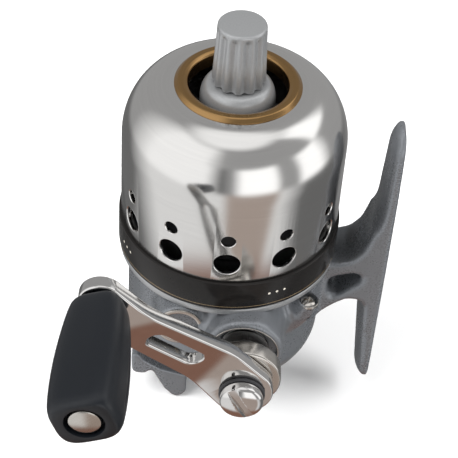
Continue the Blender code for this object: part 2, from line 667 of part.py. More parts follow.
def build_deck(bench):
    """Deck plate that closes the gear case and carries the spool on its hub tube."""
    deck_radius = BODY_INNER - GAP
    back = DECK_TOP_Z - DECK_THICKNESS
    profile = [(deck_radius, DECK_TOP_Z), (deck_radius, back), (HUB_BORE_RADIUS, back)]
    profile += [(HUB_BORE_RADIUS, HUB_TOP_Z), (HUB_RADIUS, HUB_TOP_Z), (HUB_RADIUS, DECK_TOP_Z)]
    turned(bench, "deck_plate", profile, "steel", bench.axis, 32)
    tube(bench, "pinion_bush", HUB_BORE_RADIUS - RUN, SLEEVE_RADIUS + RUN, back + 0.1 * MM, BUSH_TOP_Z,
         "brass", bench.axis)
    spool_low = DECK_TOP_Z + GAP
    spool_high = HUB_TOP_Z - 0.1 * MM
    bore = HUB_RADIUS + GAP
    flange_low = spool_low + SPOOL_FLANGE
    flange_high = spool_high - SPOOL_FLANGE
    profile = [(SPOOL_FLANGE_RADIUS, spool_high), (SPOOL_FLANGE_RADIUS, flange_high)]
    profile += [(SPOOL_CORE_RADIUS, flange_high), (SPOOL_CORE_RADIUS, flange_low)]
    profile += [(SPOOL_FLANGE_RADIUS, flange_low), (SPOOL_FLANGE_RADIUS, spool_low)]
    profile += [(bore, spool_low), (bore, spool_high)]
    turned(bench, "spool", profile, "black_plastic", bench.axis, 28)
    plug_low = HUB_TOP_Z + GAP
    bush = [(HUB_RADIUS + 1.2 * MM, plug_low + 1.0 * MM), (HUB_RADIUS + 1.2 * MM, plug_low)]
    bush += [(HUB_BORE_RADIUS - GAP, plug_low), (HUB_BORE_RADIUS - GAP, plug_low - 0.5 * MM)]
    bush += [(SHAFT_RADIUS + RUN, plug_low - 0.5 * MM), (SHAFT_RADIUS + RUN, plug_low + 1.0 * MM)]
    turned(bench, "hub_bush", bush, "brass", bench.axis, 24)
    coil(bench, "shaft_spring", 2.4 * MM, 0.3 * MM, CLIP_Z + CLIP_THICKNESS + GAP,
         plug_low - 0.5 * MM - GAP, 3, "steel", bench.axis)


def build_gear_train(bench):
    """Pinion on the main axis, and the offset face gear, ratchet and shaft on the crank axis."""
    gap_faces_gear = -math.pi / 2 + math.pi / PINION_TEETH
    outline = toothed_outline(PINION_TEETH, PINION_ROOT_RADIUS, PINION_TIP_RADIUS, PINION_TOOTH_ROOT,
                              PINION_TOOTH_TIP, gap_faces_gear)
    pinion = plate(bench, "pinion_gear", [outline], PINION_BACK_Z, PINION_TOP_Z, "brass", bench.axis)
    sleeve = rod(bench, "pinion_sleeve_form", SLEEVE_RADIUS, PINION_TOP_Z - SLEEVE_ROOT, BUSH_TOP_Z + GAP,
                 None, bench.axis)
    bore = rod(bench, "pinion_bore", PINION_BORE, PINION_BACK_Z - CUT, BUSH_TOP_Z + CUT, None,
               bench.axis)
    join(pinion, sleeve)
    cut(pinion, bore)

    shaft_bore = CRANK_SHAFT_RADIUS + RUN
    profile = [(GEAR_RADIUS, GEAR_FRONT), (GEAR_RADIUS, GEAR_BACK), (shaft_bore, GEAR_BACK)]
    profile += [(shaft_bore, GEAR_FRONT)]
    gear = turned(bench, "drive_gear", profile, "brass", bench.crank, 36)
    join(gear, gear_tooth_forms(bench))

    step = 2 * math.pi / RATCHET_TEETH
    teeth = []
    for i in range(RATCHET_TEETH):
        teeth.append(on_circle(RATCHET_RADIUS, i * step))
        teeth.append(on_circle(RATCHET_RADIUS - RATCHET_DEPTH, i * step + 0.06))
    bore = [on_circle(shaft_bore, 2 * math.pi * i / 24) for i in range(24)]
    plate(bench, "ratchet_wheel", [teeth, bore], RATCHET_BACK, RATCHET_BACK + RATCHET_THICKNESS, "steel",
          bench.crank)
    build_pawl(bench)

    screw_hole = CRANK_SCREW_SHANK + RUN
    near = SEAL_BACK + SEAL_THICKNESS / 2
    blind = near - CRANK_SCREW_LENGTH - 1.5 * MM
    far = -(FAR_BOSS_REACH - 1.6 * MM)
    profile = [(0, blind), (screw_hole, blind), (screw_hole, near), (CRANK_SHAFT_RADIUS, near)]
    profile += [(CRANK_SHAFT_RADIUS, far), (0, far)]
    turned(bench, "crank_shaft", profile, "steel", bench.crank, 24, ring=False)
    near_bush = (BUSH_FRONT - BUSH_LENGTH, BUSH_FRONT)
    far_bush = (-FAR_BOSS_REACH + 1.8 * MM, -FAR_BOSS_REACH + 1.8 * MM + BUSH_LENGTH * 0.8)
    for name, (low, high) in (("crank_bush", near_bush), ("crank_bush_far", far_bush)):
        tube(bench, name, BUSH_RADIUS, shaft_bore, low, high, "brass", bench.crank)
    cap_face = -FAR_BOSS_REACH - GAP
    cap = [(0, cap_face + 1.4 * MM), (BUSH_RADIUS, cap_face + 1.4 * MM), (BUSH_RADIUS, cap_face)]
    cap += [(FAR_BOSS_RADIUS - 0.6 * MM, cap_face), (FAR_BOSS_RADIUS - 0.9 * MM, cap_face - 1.1 * MM)]
    cap += [(0, cap_face - 1.4 * MM)]
    turned(bench, "end_cap", cap, "black_plastic", bench.crank, 24, ring=False)


def gear_tooth_forms(bench):
    """Tapered bars whose lines pass the crank axis at the pinion's offset, so each meets it square."""
    bm = bmesh.new()
    near = GEAR_MESH - GEAR_FACE / 2
    far = GEAR_MESH + GEAR_FACE / 2 - 0.1 * MM
    root_z = GEAR_BACK + GEAR_DISC / 2
    for i in range(GEAR_TEETH):
        around = Matrix.Rotation(2 * math.pi * i / GEAR_TEETH, 4, "Z")
        size = (2 * GEAR_TOOTH_ROOT, far - near, root_z - GEAR_TOOTH_TOP)
        middle = (-CRANK_X, (near + far) / 2, (root_z + GEAR_TOOTH_TOP) / 2)
        made = bmesh.ops.create_cube(bm, size=1.0)
        for vert in made["verts"]:
            if vert.co.z < 0:
                vert.co.x *= GEAR_TOOTH_TIP / GEAR_TOOTH_ROOT
        matrix = around @ Matrix.Translation(middle) @ Matrix.Diagonal((*size, 1))
        bmesh.ops.transform(bm, matrix=matrix, verts=made["verts"])
    return bench.place("gear_teeth_form", mesh_from("gear_teeth_form", bm), bench.crank)


def build_pawl(bench):
    """Anti-reverse pawl beside the ratchet wheel, on its pin."""
    low = RATCHET_BACK + GAP
    high = low + 1.0 * MM
    inward = math.pi + math.atan2(PAWL_Y, PAWL_X)
    reach = math.hypot(PAWL_X, PAWL_Y) - RATCHET_RADIUS - GAP
    outline = []
    for i in range(11):
        angle = inward + 0.6 + (2 * math.pi - 1.2) * i / 10
        outline.append(on_circle(PAWL_RADIUS, angle))
    outline.append(on_circle(reach, inward - 0.15))
    outline.append(on_circle(reach, inward + 0.15))
    bore = [on_circle(PAWL_PIN_RADIUS + RUN, 2 * math.pi * i / 12) for i in range(12)]
    where = {"at": (PAWL_X, PAWL_Y, 0)}
    plate(bench, "reverse_pawl", [outline, bore], low, high, "steel", bench.crank, **where)
    rod(bench, "pawl_pin", PAWL_PIN_RADIUS, GEAR_FRONT + GAP, 12.0 * MM, "steel", bench.crank, 12, **where)


def arm_height(along):
    """Outward rise of the arm, straight between its two folds."""
    share = (along - ARM_FOLD_1) / (ARM_FOLD_2 - ARM_FOLD_1)
    return ARM_RISE * min(max(share, 0.0), 1.0)


def arm_half_width(along):
    return ARM_HUB_HALF + (ARM_END_HALF - ARM_HUB_HALF) * along / ARM_LENGTH


def build_crank(bench):
    """Hub cup, bent arm, seal and screw on the crank axis."""
    bore = CRANK_SHAFT_RADIUS + RUN
    neck_back = BOSS_REACH - BOSS_RECESS_DEPTH + 0.5 * MM
    profile = [(HUB_CUP_RADIUS - 0.4 * MM, HUB_CUP_FRONT), (HUB_CUP_RADIUS, HUB_CUP_FRONT - 0.4 * MM)]
    profile += [(HUB_CUP_RADIUS, HUB_CUP_BACK + 0.5 * MM), (HUB_CUP_RADIUS - 0.5 * MM, HUB_CUP_BACK)]
    profile += [(HUB_NECK_RADIUS, HUB_CUP_BACK), (HUB_NECK_RADIUS, neck_back), (bore, neck_back)]
    profile += [(bore, HUB_CUP_FRONT)]
    turned(bench, "hub_cup", profile, "nickel", bench.crank, 28)

    stations = []
    for i in range(7):
        angle = math.pi / 2 * i / 6
        half = arm_half_width(0)
        stations.append((-half * math.cos(angle), max(half * math.sin(angle), 0.4 * MM)))
    stations += [(place, arm_half_width(place)) for place in (ARM_FOLD_1, ARM_FOLD_2)]
    for i in range(7):
        angle = math.pi / 2 * i / 6
        half = arm_half_width(ARM_LENGTH)
        stations.append((ARM_LENGTH + half * math.sin(angle), max(half * math.cos(angle), 0.4 * MM)))
    sections = []
    for along, half in stations:
        low = ARM_BACK + arm_height(along)
        high = ARM_FRONT + arm_height(along)
        sections.append([(along, -half, low), (along, half, low), (along, half, high), (along, -half, high)])
    turn = (0, 0, ARM_ANGLE)
    arm = loft(bench, "crank_arm", sections, "chrome", bench.crank, turn=turn)
    slot_middle = sum(ARM_SLOT) / 2
    slot_half = (ARM_SLOT[1] - ARM_SLOT[0]) / 2 - ARM_SLOT_HALF
    slot = [(x + slot_middle, y) for x, y in stadium(slot_half, ARM_SLOT_HALF)]
    slot_form = plate(bench, "arm_slot_form", [slot], ARM_BACK - CUT, ARM_FRONT + ARM_RISE + CUT, None,
                      bench.crank, turn=turn)
    hub_bore = rod(bench, "arm_hub_bore", bore, ARM_BACK - CUT, ARM_FRONT + CUT, None, bench.crank)
    end_bore = rod(bench, "arm_end_bore", RIVET_RADIUS + RUN, ARM_BACK + ARM_RISE - CUT,
                   ARM_FRONT + ARM_RISE + CUT, None, bench.grip)
    cut(arm, slot_form, hub_bore, end_bore)

    tube(bench, "crank_seal", SEAL_RADIUS, bore, SEAL_BACK, SEAL_BACK + SEAL_THICKNESS, "black_plastic",
         bench.crank)
    shank = CRANK_SCREW_SHANK
    rim = SCREW_SEAT + 0.6 * MM
    profile = [(radius, height) for radius, height in
               squared_arc(CRANK_SCREW_RADIUS, 0.0, rim, SCREW_SEAT + CRANK_SCREW_RISE, 2.0, 5)][::-1]
    profile += [(CRANK_SCREW_RADIUS, SCREW_SEAT), (shank, SCREW_SEAT), (shank, SCREW_SEAT - CRANK_SCREW_LENGTH)]
    profile += [(0, SCREW_SEAT - CRANK_SCREW_LENGTH)]
    screw = turned(bench, "crank_screw", profile, "chrome", bench.crank, 24, ring=False)
    half = CRANK_SCREW_SLOT / 2
    reach = CRANK_SCREW_RADIUS + CUT
    slot_floor = SCREW_SEAT + CRANK_SCREW_RISE - 0.9 * MM
    slot = block(bench, "crank_screw_slot", (-reach, -half, slot_floor), (reach, half, SCREW_SEAT + 4 * MM),
                 None, bench.crank, turn=(0, 0, math.radians(-60)))
    cut(screw, slot)


def build_grip(bench):
    """Paddle grip turning freely on the rivet that joins it to the arm."""
    shares = ((0.0, 0.66), (0.04, 0.76), (0.15, 0.85), (0.33, 0.93), (0.55, 0.99), (0.75, 1.0), (0.9, 0.97),
              (0.97, 0.91), (1.0, 0.82))
    sections = []
    for share, size in shares:
        section = []
        for i in range(20):
            angle = 2 * math.pi * i / 20
            across, up = math.cos(angle), math.sin(angle)
            broad = math.copysign(abs(across) ** GRIP_ROUNDNESS, across) * GRIP_BROAD / 2 * size
            thin = math.copysign(abs(up) ** GRIP_ROUNDNESS, up) * GRIP_THIN / 2 * size
            section.append((broad, thin, GRIP_BACK + GRIP_LENGTH * share))
        sections.append(section)
    grip = loft(bench, "handle_grip", sections, "grip_rubber", bench.grip, turn=(0, 0, GRIP_TURN))
    bore = rod(bench, "grip_bore", RIVET_RADIUS + GAP, GRIP_BACK - CUT, GRIP_FRONT + CUT, None, bench.grip)
    recess_floor = GRIP_FRONT - GRIP_RECESS_DEPTH
    recess = rod(bench, "grip_recess", GRIP_RECESS_RADIUS, recess_floor, GRIP_FRONT + CUT, None, bench.grip)
    cut(grip, bore, recess)

    head_low = recess_floor + GAP
    arm_back = ARM_BACK + ARM_RISE
    tail_top = arm_back - 0.1 * MM
    profile = [(0, head_low + RIVET_HEAD + 0.2 * MM), (RIVET_HEAD_RADIUS * 0.8, head_low + RIVET_HEAD)]
    profile += [(RIVET_HEAD_RADIUS, head_low + RIVET_HEAD * 0.6), (RIVET_HEAD_RADIUS, head_low)]
    profile += [(RIVET_RADIUS, head_low), (RIVET_RADIUS, tail_top), (RIVET_RADIUS + 0.9 * MM, tail_top)]
    profile += [(RIVET_RADIUS + 0.6 * MM, tail_top - 0.8 * MM), (0, tail_top - 0.9 * MM)]
    turned(bench, "grip_rivet", profile, "nickel", bench.grip, 24, ring=False)


def build_main_shaft(bench):
    """Centre shaft with the drag stack that drives the spinner head."""
    rod(bench, "center_shaft", SHAFT_RADIUS, SHAFT_REAR_Z, SHAFT_FRONT_Z, "steel", bench.axis)
    bore = SHAFT_RADIUS + RUN
    tube(bench, "shaft_clip", 3.0 * MM, bore, CLIP_Z, CLIP_Z + CLIP_THICKNESS, "steel", bench.axis)
    stack = (
        ("drag_disc", DRAG_DISC_RADIUS, DRAG_DISC_Z, DRAG_DISC, "steel"),
        ("drag_washer_rear", DRAG_DISC_RADIUS, WEB_BACK_Z - GAP - FELT, FELT, "felt"),
        ("drag_washer_front", DRAG_DISC_RADIUS, WEB_FRONT_Z + GAP, FELT, "felt"),
        ("pressure_washer", DRAG_DISC_RADIUS, PRESSURE_Z, DRAG_DISC, "steel"),
    )
    for name, radius, low, thickness, finish in stack:
        tube(bench, name, radius, bore, low, low + thickness, finish, bench.axis)
    coil(bench, "drag_spring", DRAG_SPRING_RADIUS, DRAG_SPRING_WIRE, DRAG_SPRING_Z,
         DRAG_SPRING_Z + DRAG_SPRING_LENGTH, 3, "steel", bench.axis)
    profile = [(NUT_RADIUS, NUT_TOP_Z), (NUT_RADIUS, NUT_Z + NUT_FLANGE)]
    profile += [(NUT_FLANGE_RADIUS, NUT_Z + NUT_FLANGE), (NUT_FLANGE_RADIUS, NUT_Z), (bore, NUT_Z)]
    profile += [(bore, NUT_TOP_Z)]
    turned(bench, "drag_nut", profile, "brass", bench.axis, 24)


def build_spinner_head(bench):
    """Spinner head cup over the spool, its pickup pin, and the dome in the cover's mouth."""
    bore = SHAFT_RADIUS + GAP
    inner = HEAD_RADIUS - HEAD_WALL
    profile = [(HEAD_RADIUS - 1.4 * MM, WEB_FRONT_Z), (HEAD_RADIUS, WEB_FRONT_Z - 1.4 * MM)]
    profile += [(HEAD_RADIUS, HEAD_RIM_Z), (inner, HEAD_RIM_Z), (inner, WEB_BACK_Z), (bore, WEB_BACK_Z)]
    profile += [(bore, WEB_FRONT_Z)]
    head = turned(bench, "spinner_head", profile, "black_plastic", bench.axis, 32)
    across = (0, math.pi / 2, 0)
    hole = rod(bench, "pickup_hole", PIN_RADIUS + RUN, inner - CUT, HEAD_RADIUS + CUT, None, bench.axis,
               12, at=(0, 0, PIN_Z), turn=across)
    cut(head, hole)
    profile = [(0, PIN_OUTER), (PIN_RADIUS * 0.6, PIN_OUTER), (PIN_RADIUS, PIN_OUTER - 0.4 * MM)]
    profile += [(PIN_RADIUS, PIN_INNER), (0, PIN_INNER)]
    turned(bench, "pickup_pin", profile, "steel", bench.axis, 12, ring=False, at=(0, 0, PIN_Z), turn=across)

    base = WEB_FRONT_Z + GAP
    neck = TAIL_RADIUS + GAP
    outer = squared_arc(DOME_RADIUS, DOME_TOP_RADIUS - 1.2 * MM, DOME_STRAIGHT_Z, DOME_TOP_Z, 2.0, 4)
    profile = outer[::-1] + [(DOME_RADIUS, base)]
    profile += [(DOME_RADIUS - DOME_WALL, base), (DOME_RADIUS - DOME_WALL, DOME_STRAIGHT_Z)]
    profile += [(DOME_RADIUS - DOME_WALL - 1.4 * MM, DOME_TOP_Z - 1.6 * MM), (neck, DOME_TOP_Z - 1.6 * MM)]
    profile[0] = (neck, DOME_TOP_Z)
    turned(bench, "nose_dome", profile, "knob_silver", bench.axis, 28)


def build_drag_knob(bench):
    """Fluted knob on the nose, with the tail that holds the drag nut."""
    sections = []
    flute_points = KNOB_FLUTES * 4
    for height, radius, depth in ((KNOB_Z, KNOB_BASE_RADIUS, 1.0), (KNOB_TOP_Z - 2.0 * MM, KNOB_TOP_RADIUS, 1.0),
                                  (KNOB_TOP_Z - 0.3 * MM, KNOB_TOP_RADIUS, 0.0),
                                  (KNOB_TOP_Z, KNOB_TOP_RADIUS - 0.3 * MM, 0.0)):
        section = []
        for i in range(flute_points):
            inset = KNOB_FLUTE_DEPTH * depth * (1.0, 0.45, 0.0, 0.45)[i % 4]
            x, y = on_circle(radius - inset, 2 * math.pi * i / flute_points)
            section.append((x, y, height))
        sections.append(section)
    knob = loft(bench, "drag_knob", sections, "knob_silver", bench.axis)
    tail = rod(bench, "knob_tail_form", TAIL_RADIUS, TAIL_Z, KNOB_Z + 1.0 * MM, None, bench.axis)
    join(knob, tail)
    nut_bore = rod(bench, "knob_nut_bore", NUT_RADIUS + RUN, TAIL_Z - CUT, TAIL_BORE_TOP_Z, None, bench.axis)
    shaft_bore = rod(bench, "knob_shaft_bore", SHAFT_RADIUS + RUN, TAIL_Z - CUT, SHAFT_FRONT_Z + GAP, None,
                     bench.axis)
    cut(knob, nut_bore, shaft_bore)


def build_thumb_lever(bench):
    """Lever with a wide curved pad behind the body and a nose under the centre shaft."""
    px, pz = LEVER_PIVOT_X, LEVER_PIVOT_Z
    nose_z = SHAFT_REAR_Z - GAP - LEVER_NOSE_RADIUS
    half = LEVER_ARM_WIDTH / 2
    across = (math.pi / 2, 0, 0)
    arm = [(px - 1.2 * MM, pz - 0.4 * MM), (px - 2.6 * MM, pz - 6.0 * MM), (px - 2.2 * MM, pz - 8.4 * MM)]
    arm += [(px + 0.2 * MM, pz - 8.4 * MM), (px + 1.0 * MM, pz - 2.6 * MM), (-0.6 * MM, nose_z - 0.9 * MM)]
    arm += [(-0.6 * MM, nose_z + 0.7 * MM), (px + 1.0 * MM, pz + 1.2 * MM)]
    lever = plate(bench, "thumb_lever", [arm], -half, half, "cast_silver", bench.axis, turn=across)
    hub = rod(bench, "lever_hub_form", LEVER_HUB_RADIUS, -half, half, None, bench.axis, 20,
              at=(px, 0, pz), turn=across)
    nose = rod(bench, "lever_nose_form", LEVER_NOSE_RADIUS, -half * 0.8, half * 0.8, None, bench.axis, 16,
               at=(0, 0, nose_z), turn=across)
    pad_half = LEVER_PAD_WIDTH / 2
    outer = [(-17.4 * MM, -35.6 * MM), (-17.2 * MM, -39.4 * MM), (-15.6 * MM, -40.9 * MM)]
    outer += [(-13.2 * MM, -39.6 * MM), (-11.8 * MM, -42.6 * MM), (-10.2 * MM, -45.4 * MM)]
    outer += [(-8.3 * MM, -47.0 * MM), (-6.8 * MM, -46.2 * MM), (-6.2 * MM, -43.8 * MM)]
    inner = [(-6.2 * MM, -41.0 * MM), (-8.3 * MM, -41.0 * MM), (-11.4 * MM, -39.2 * MM)]
    inner += [(-13.6 * MM, -37.8 * MM), (-15.2 * MM, -36.6 * MM), (-15.8 * MM, -35.2 * MM)]
    pad = plate(bench, "lever_pad_form", [outer + inner], -pad_half, pad_half, None, bench.axis, turn=across)
    bore = rod(bench, "lever_bore", LEVER_PIN_RADIUS + RUN, -half - CUT, half + CUT, None, bench.axis, 16,
               at=(px, 0, pz), turn=across)
    join(lever, hub, nose, pad)
    cut(lever, bore)
    pin_half = half + GAP + LEVER_LUG
    rod(bench, "lever_pin", LEVER_PIN_RADIUS, -pin_half, pin_half, "steel", bench.axis, 16,
        at=(px, 0, pz), turn=across)


def main():
    clear_scene()
    bench = Bench()
    build_body(bench)
    build_lug_screws(bench)
    build_front_cover(bench)
    build_deck(bench)
    build_gear_train(bench)
    build_main_shaft(bench)
    build_spinner_head(bench)
    build_drag_knob(bench)
    build_thumb_lever(bench)
    build_crank(bench)
    build_grip(bench)


main()
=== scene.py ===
"""A closed-face reel dressed for a studio view: fine meshes, finishes, light and camera."""

from __future__ import annotations

import json
import logging
import math
from collections.abc import Callable, Sequence
from dataclasses import dataclass
from enum import Enum

import bmesh
import bpy
from mathutils import Matrix, Vector


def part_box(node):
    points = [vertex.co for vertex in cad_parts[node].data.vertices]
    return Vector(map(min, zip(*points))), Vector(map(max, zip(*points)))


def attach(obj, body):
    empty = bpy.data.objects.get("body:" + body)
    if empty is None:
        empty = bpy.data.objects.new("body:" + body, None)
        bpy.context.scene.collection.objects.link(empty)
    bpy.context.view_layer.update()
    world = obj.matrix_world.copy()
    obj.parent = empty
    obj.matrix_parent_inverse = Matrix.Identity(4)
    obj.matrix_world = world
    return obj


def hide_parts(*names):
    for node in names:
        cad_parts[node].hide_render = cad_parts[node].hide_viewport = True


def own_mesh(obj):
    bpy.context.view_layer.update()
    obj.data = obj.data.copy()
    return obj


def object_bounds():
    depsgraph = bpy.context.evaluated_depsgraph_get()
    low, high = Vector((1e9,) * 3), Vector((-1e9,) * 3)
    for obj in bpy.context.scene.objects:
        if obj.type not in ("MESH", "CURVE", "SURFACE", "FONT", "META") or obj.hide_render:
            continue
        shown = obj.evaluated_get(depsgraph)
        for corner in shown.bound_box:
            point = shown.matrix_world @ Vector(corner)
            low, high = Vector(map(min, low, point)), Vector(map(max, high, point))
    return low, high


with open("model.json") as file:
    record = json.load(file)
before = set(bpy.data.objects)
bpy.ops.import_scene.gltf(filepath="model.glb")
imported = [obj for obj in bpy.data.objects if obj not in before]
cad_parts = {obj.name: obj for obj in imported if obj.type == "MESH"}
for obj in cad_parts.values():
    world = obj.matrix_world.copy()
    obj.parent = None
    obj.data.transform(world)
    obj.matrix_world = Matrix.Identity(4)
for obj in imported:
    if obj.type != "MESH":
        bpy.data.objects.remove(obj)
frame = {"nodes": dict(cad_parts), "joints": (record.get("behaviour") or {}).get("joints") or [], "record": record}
CAD_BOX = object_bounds()

MM = 0.001
log = logging.getLogger("reel")

Point = tuple[float, float]
Corner = tuple[float, float, float]
Value = "float | Wire"


class Slot(Enum):
    """The record's material slots."""

    CAST = "cast_silver"
    COVER = "cover_metal"
    GOLD = "line_ring_gold"
    BAND = "band_black"
    CHROME = "chrome"
    NICKEL = "nickel"
    RUBBER = "grip_rubber"
    KNOB = "knob_silver"
    STEEL = "steel"
    BRASS = "brass"
    PLASTIC = "black_plastic"
    FELT = "felt"


class Rides(Enum):
    """The moving groups that a piece can ride on."""

    REEL = "reel_body"
    CRANK = "crank"
    GRIP = "grip"
    HEAD = "head"
    SHAFT = "shaft"
    KNOB = "knob"
    LEVER = "lever"


def joint_spot(name: str) -> Vector:
    """Where a joint's axis passes, in millimetres."""
    return Vector(next(joint["pos_m"] for joint in frame["joints"] if joint["name"] == name)) / MM


MAIN = Matrix.Translation(joint_spot("pinion_spin"))
CRANK = Matrix.Translation(joint_spot("crank_turn")) @ Matrix.Rotation(math.pi / 2, 4, "X")
GRIP = Matrix.Translation(joint_spot("grip_spin")) @ Matrix.Rotation(math.pi / 2, 4, "X")
ACROSS = Matrix.Rotation(math.pi / 2, 4, "X")


# Outlines


def on_circle(radius: float, angle: float) -> Point:
    """A point at that radius and angle."""
    return radius * math.cos(angle), radius * math.sin(angle)


def rounded(corners: Sequence[Corner], steps: int = 5, closed: bool = True) -> list[Point]:
    """An outline whose corners are arcs.

    Args:
        corners: (a, b, radius) of each corner in order.
        steps: chords in each arc.
        closed: whether the last corner joins the first.

    Returns:
        The outline's points.
    """
    points: list[Point] = []
    count = len(corners)
    for i, (a, b, radius) in enumerate(corners):
        if radius <= 0 or (not closed and i in (0, count - 1)):
            points.append((a, b))
            continue
        here = Vector((a, b))
        before = Vector(corners[i - 1][:2]) - here
        after = Vector(corners[(i + 1) % count][:2]) - here
        half = before.angle(after) / 2
        reach = min(radius / math.tan(half), 0.48 * before.length, 0.48 * after.length)
        centre = here + (before.normalized() + after.normalized()).normalized() * reach / math.cos(half)
        start = here + before.normalized() * reach - centre
        end = here + after.normalized() * reach - centre
        turn = start.angle(end)
        for k in range(steps + 1):
            share = k / steps
            mixed = start * math.sin((1 - share) * turn) + end * math.sin(share * turn)
            points.append(tuple(centre + mixed / math.sin(turn)))
    return points


def squared_arc(outer: Point, inner: Point, power: float, count: int) -> list[Point]:
    """A rounded shoulder.

    Args:
        outer: (radius, height) where it leaves the straight wall.
        inner: (radius, height) where it meets the flat end.
        power: 2 for an ellipse, more for a squarer shoulder.
        count: chords in it.

    Returns:
        The points from outer to inner.
    """
    points = []
    for i in range(count + 1):
        angle = math.pi / 2 * i / count
        across = math.cos(angle) ** (2 / power)
        along = math.sin(angle) ** (2 / power)
        points.append((inner[0] + (outer[0] - inner[0]) * across, outer[1] + (inner[1] - outer[1]) * along))
    return points


def smooth_path(points: Sequence[Point], steps: int) -> list[Point]:
    """A smooth line through the points, with that many chords between each two."""
    path = []
    for i in range(len(points) - 1):
        p = [Vector(points[min(max(k, 0), len(points) - 1)]) for k in range(i - 1, i + 3)]
        for k in range(steps):
            t = k / steps
            bend = (2 * p[0] - 5 * p[1] + 4 * p[2] - p[3]) * t * t
            bend += (3 * p[1] - p[0] - 3 * p[2] + p[3]) * t**3
            path.append(tuple(0.5 * (2 * p[1] + (p[2] - p[0]) * t + bend)))
    path.append(tuple(points[-1]))
    return path


def eased(value: float, low: float, high: float) -> float:
    """0 below low, 1 above high, and a smooth step between."""
    share = min(max((value - low) / (high - low), 0.0), 1.0)
    return share * share * (3 - 2 * share)


# Meshes


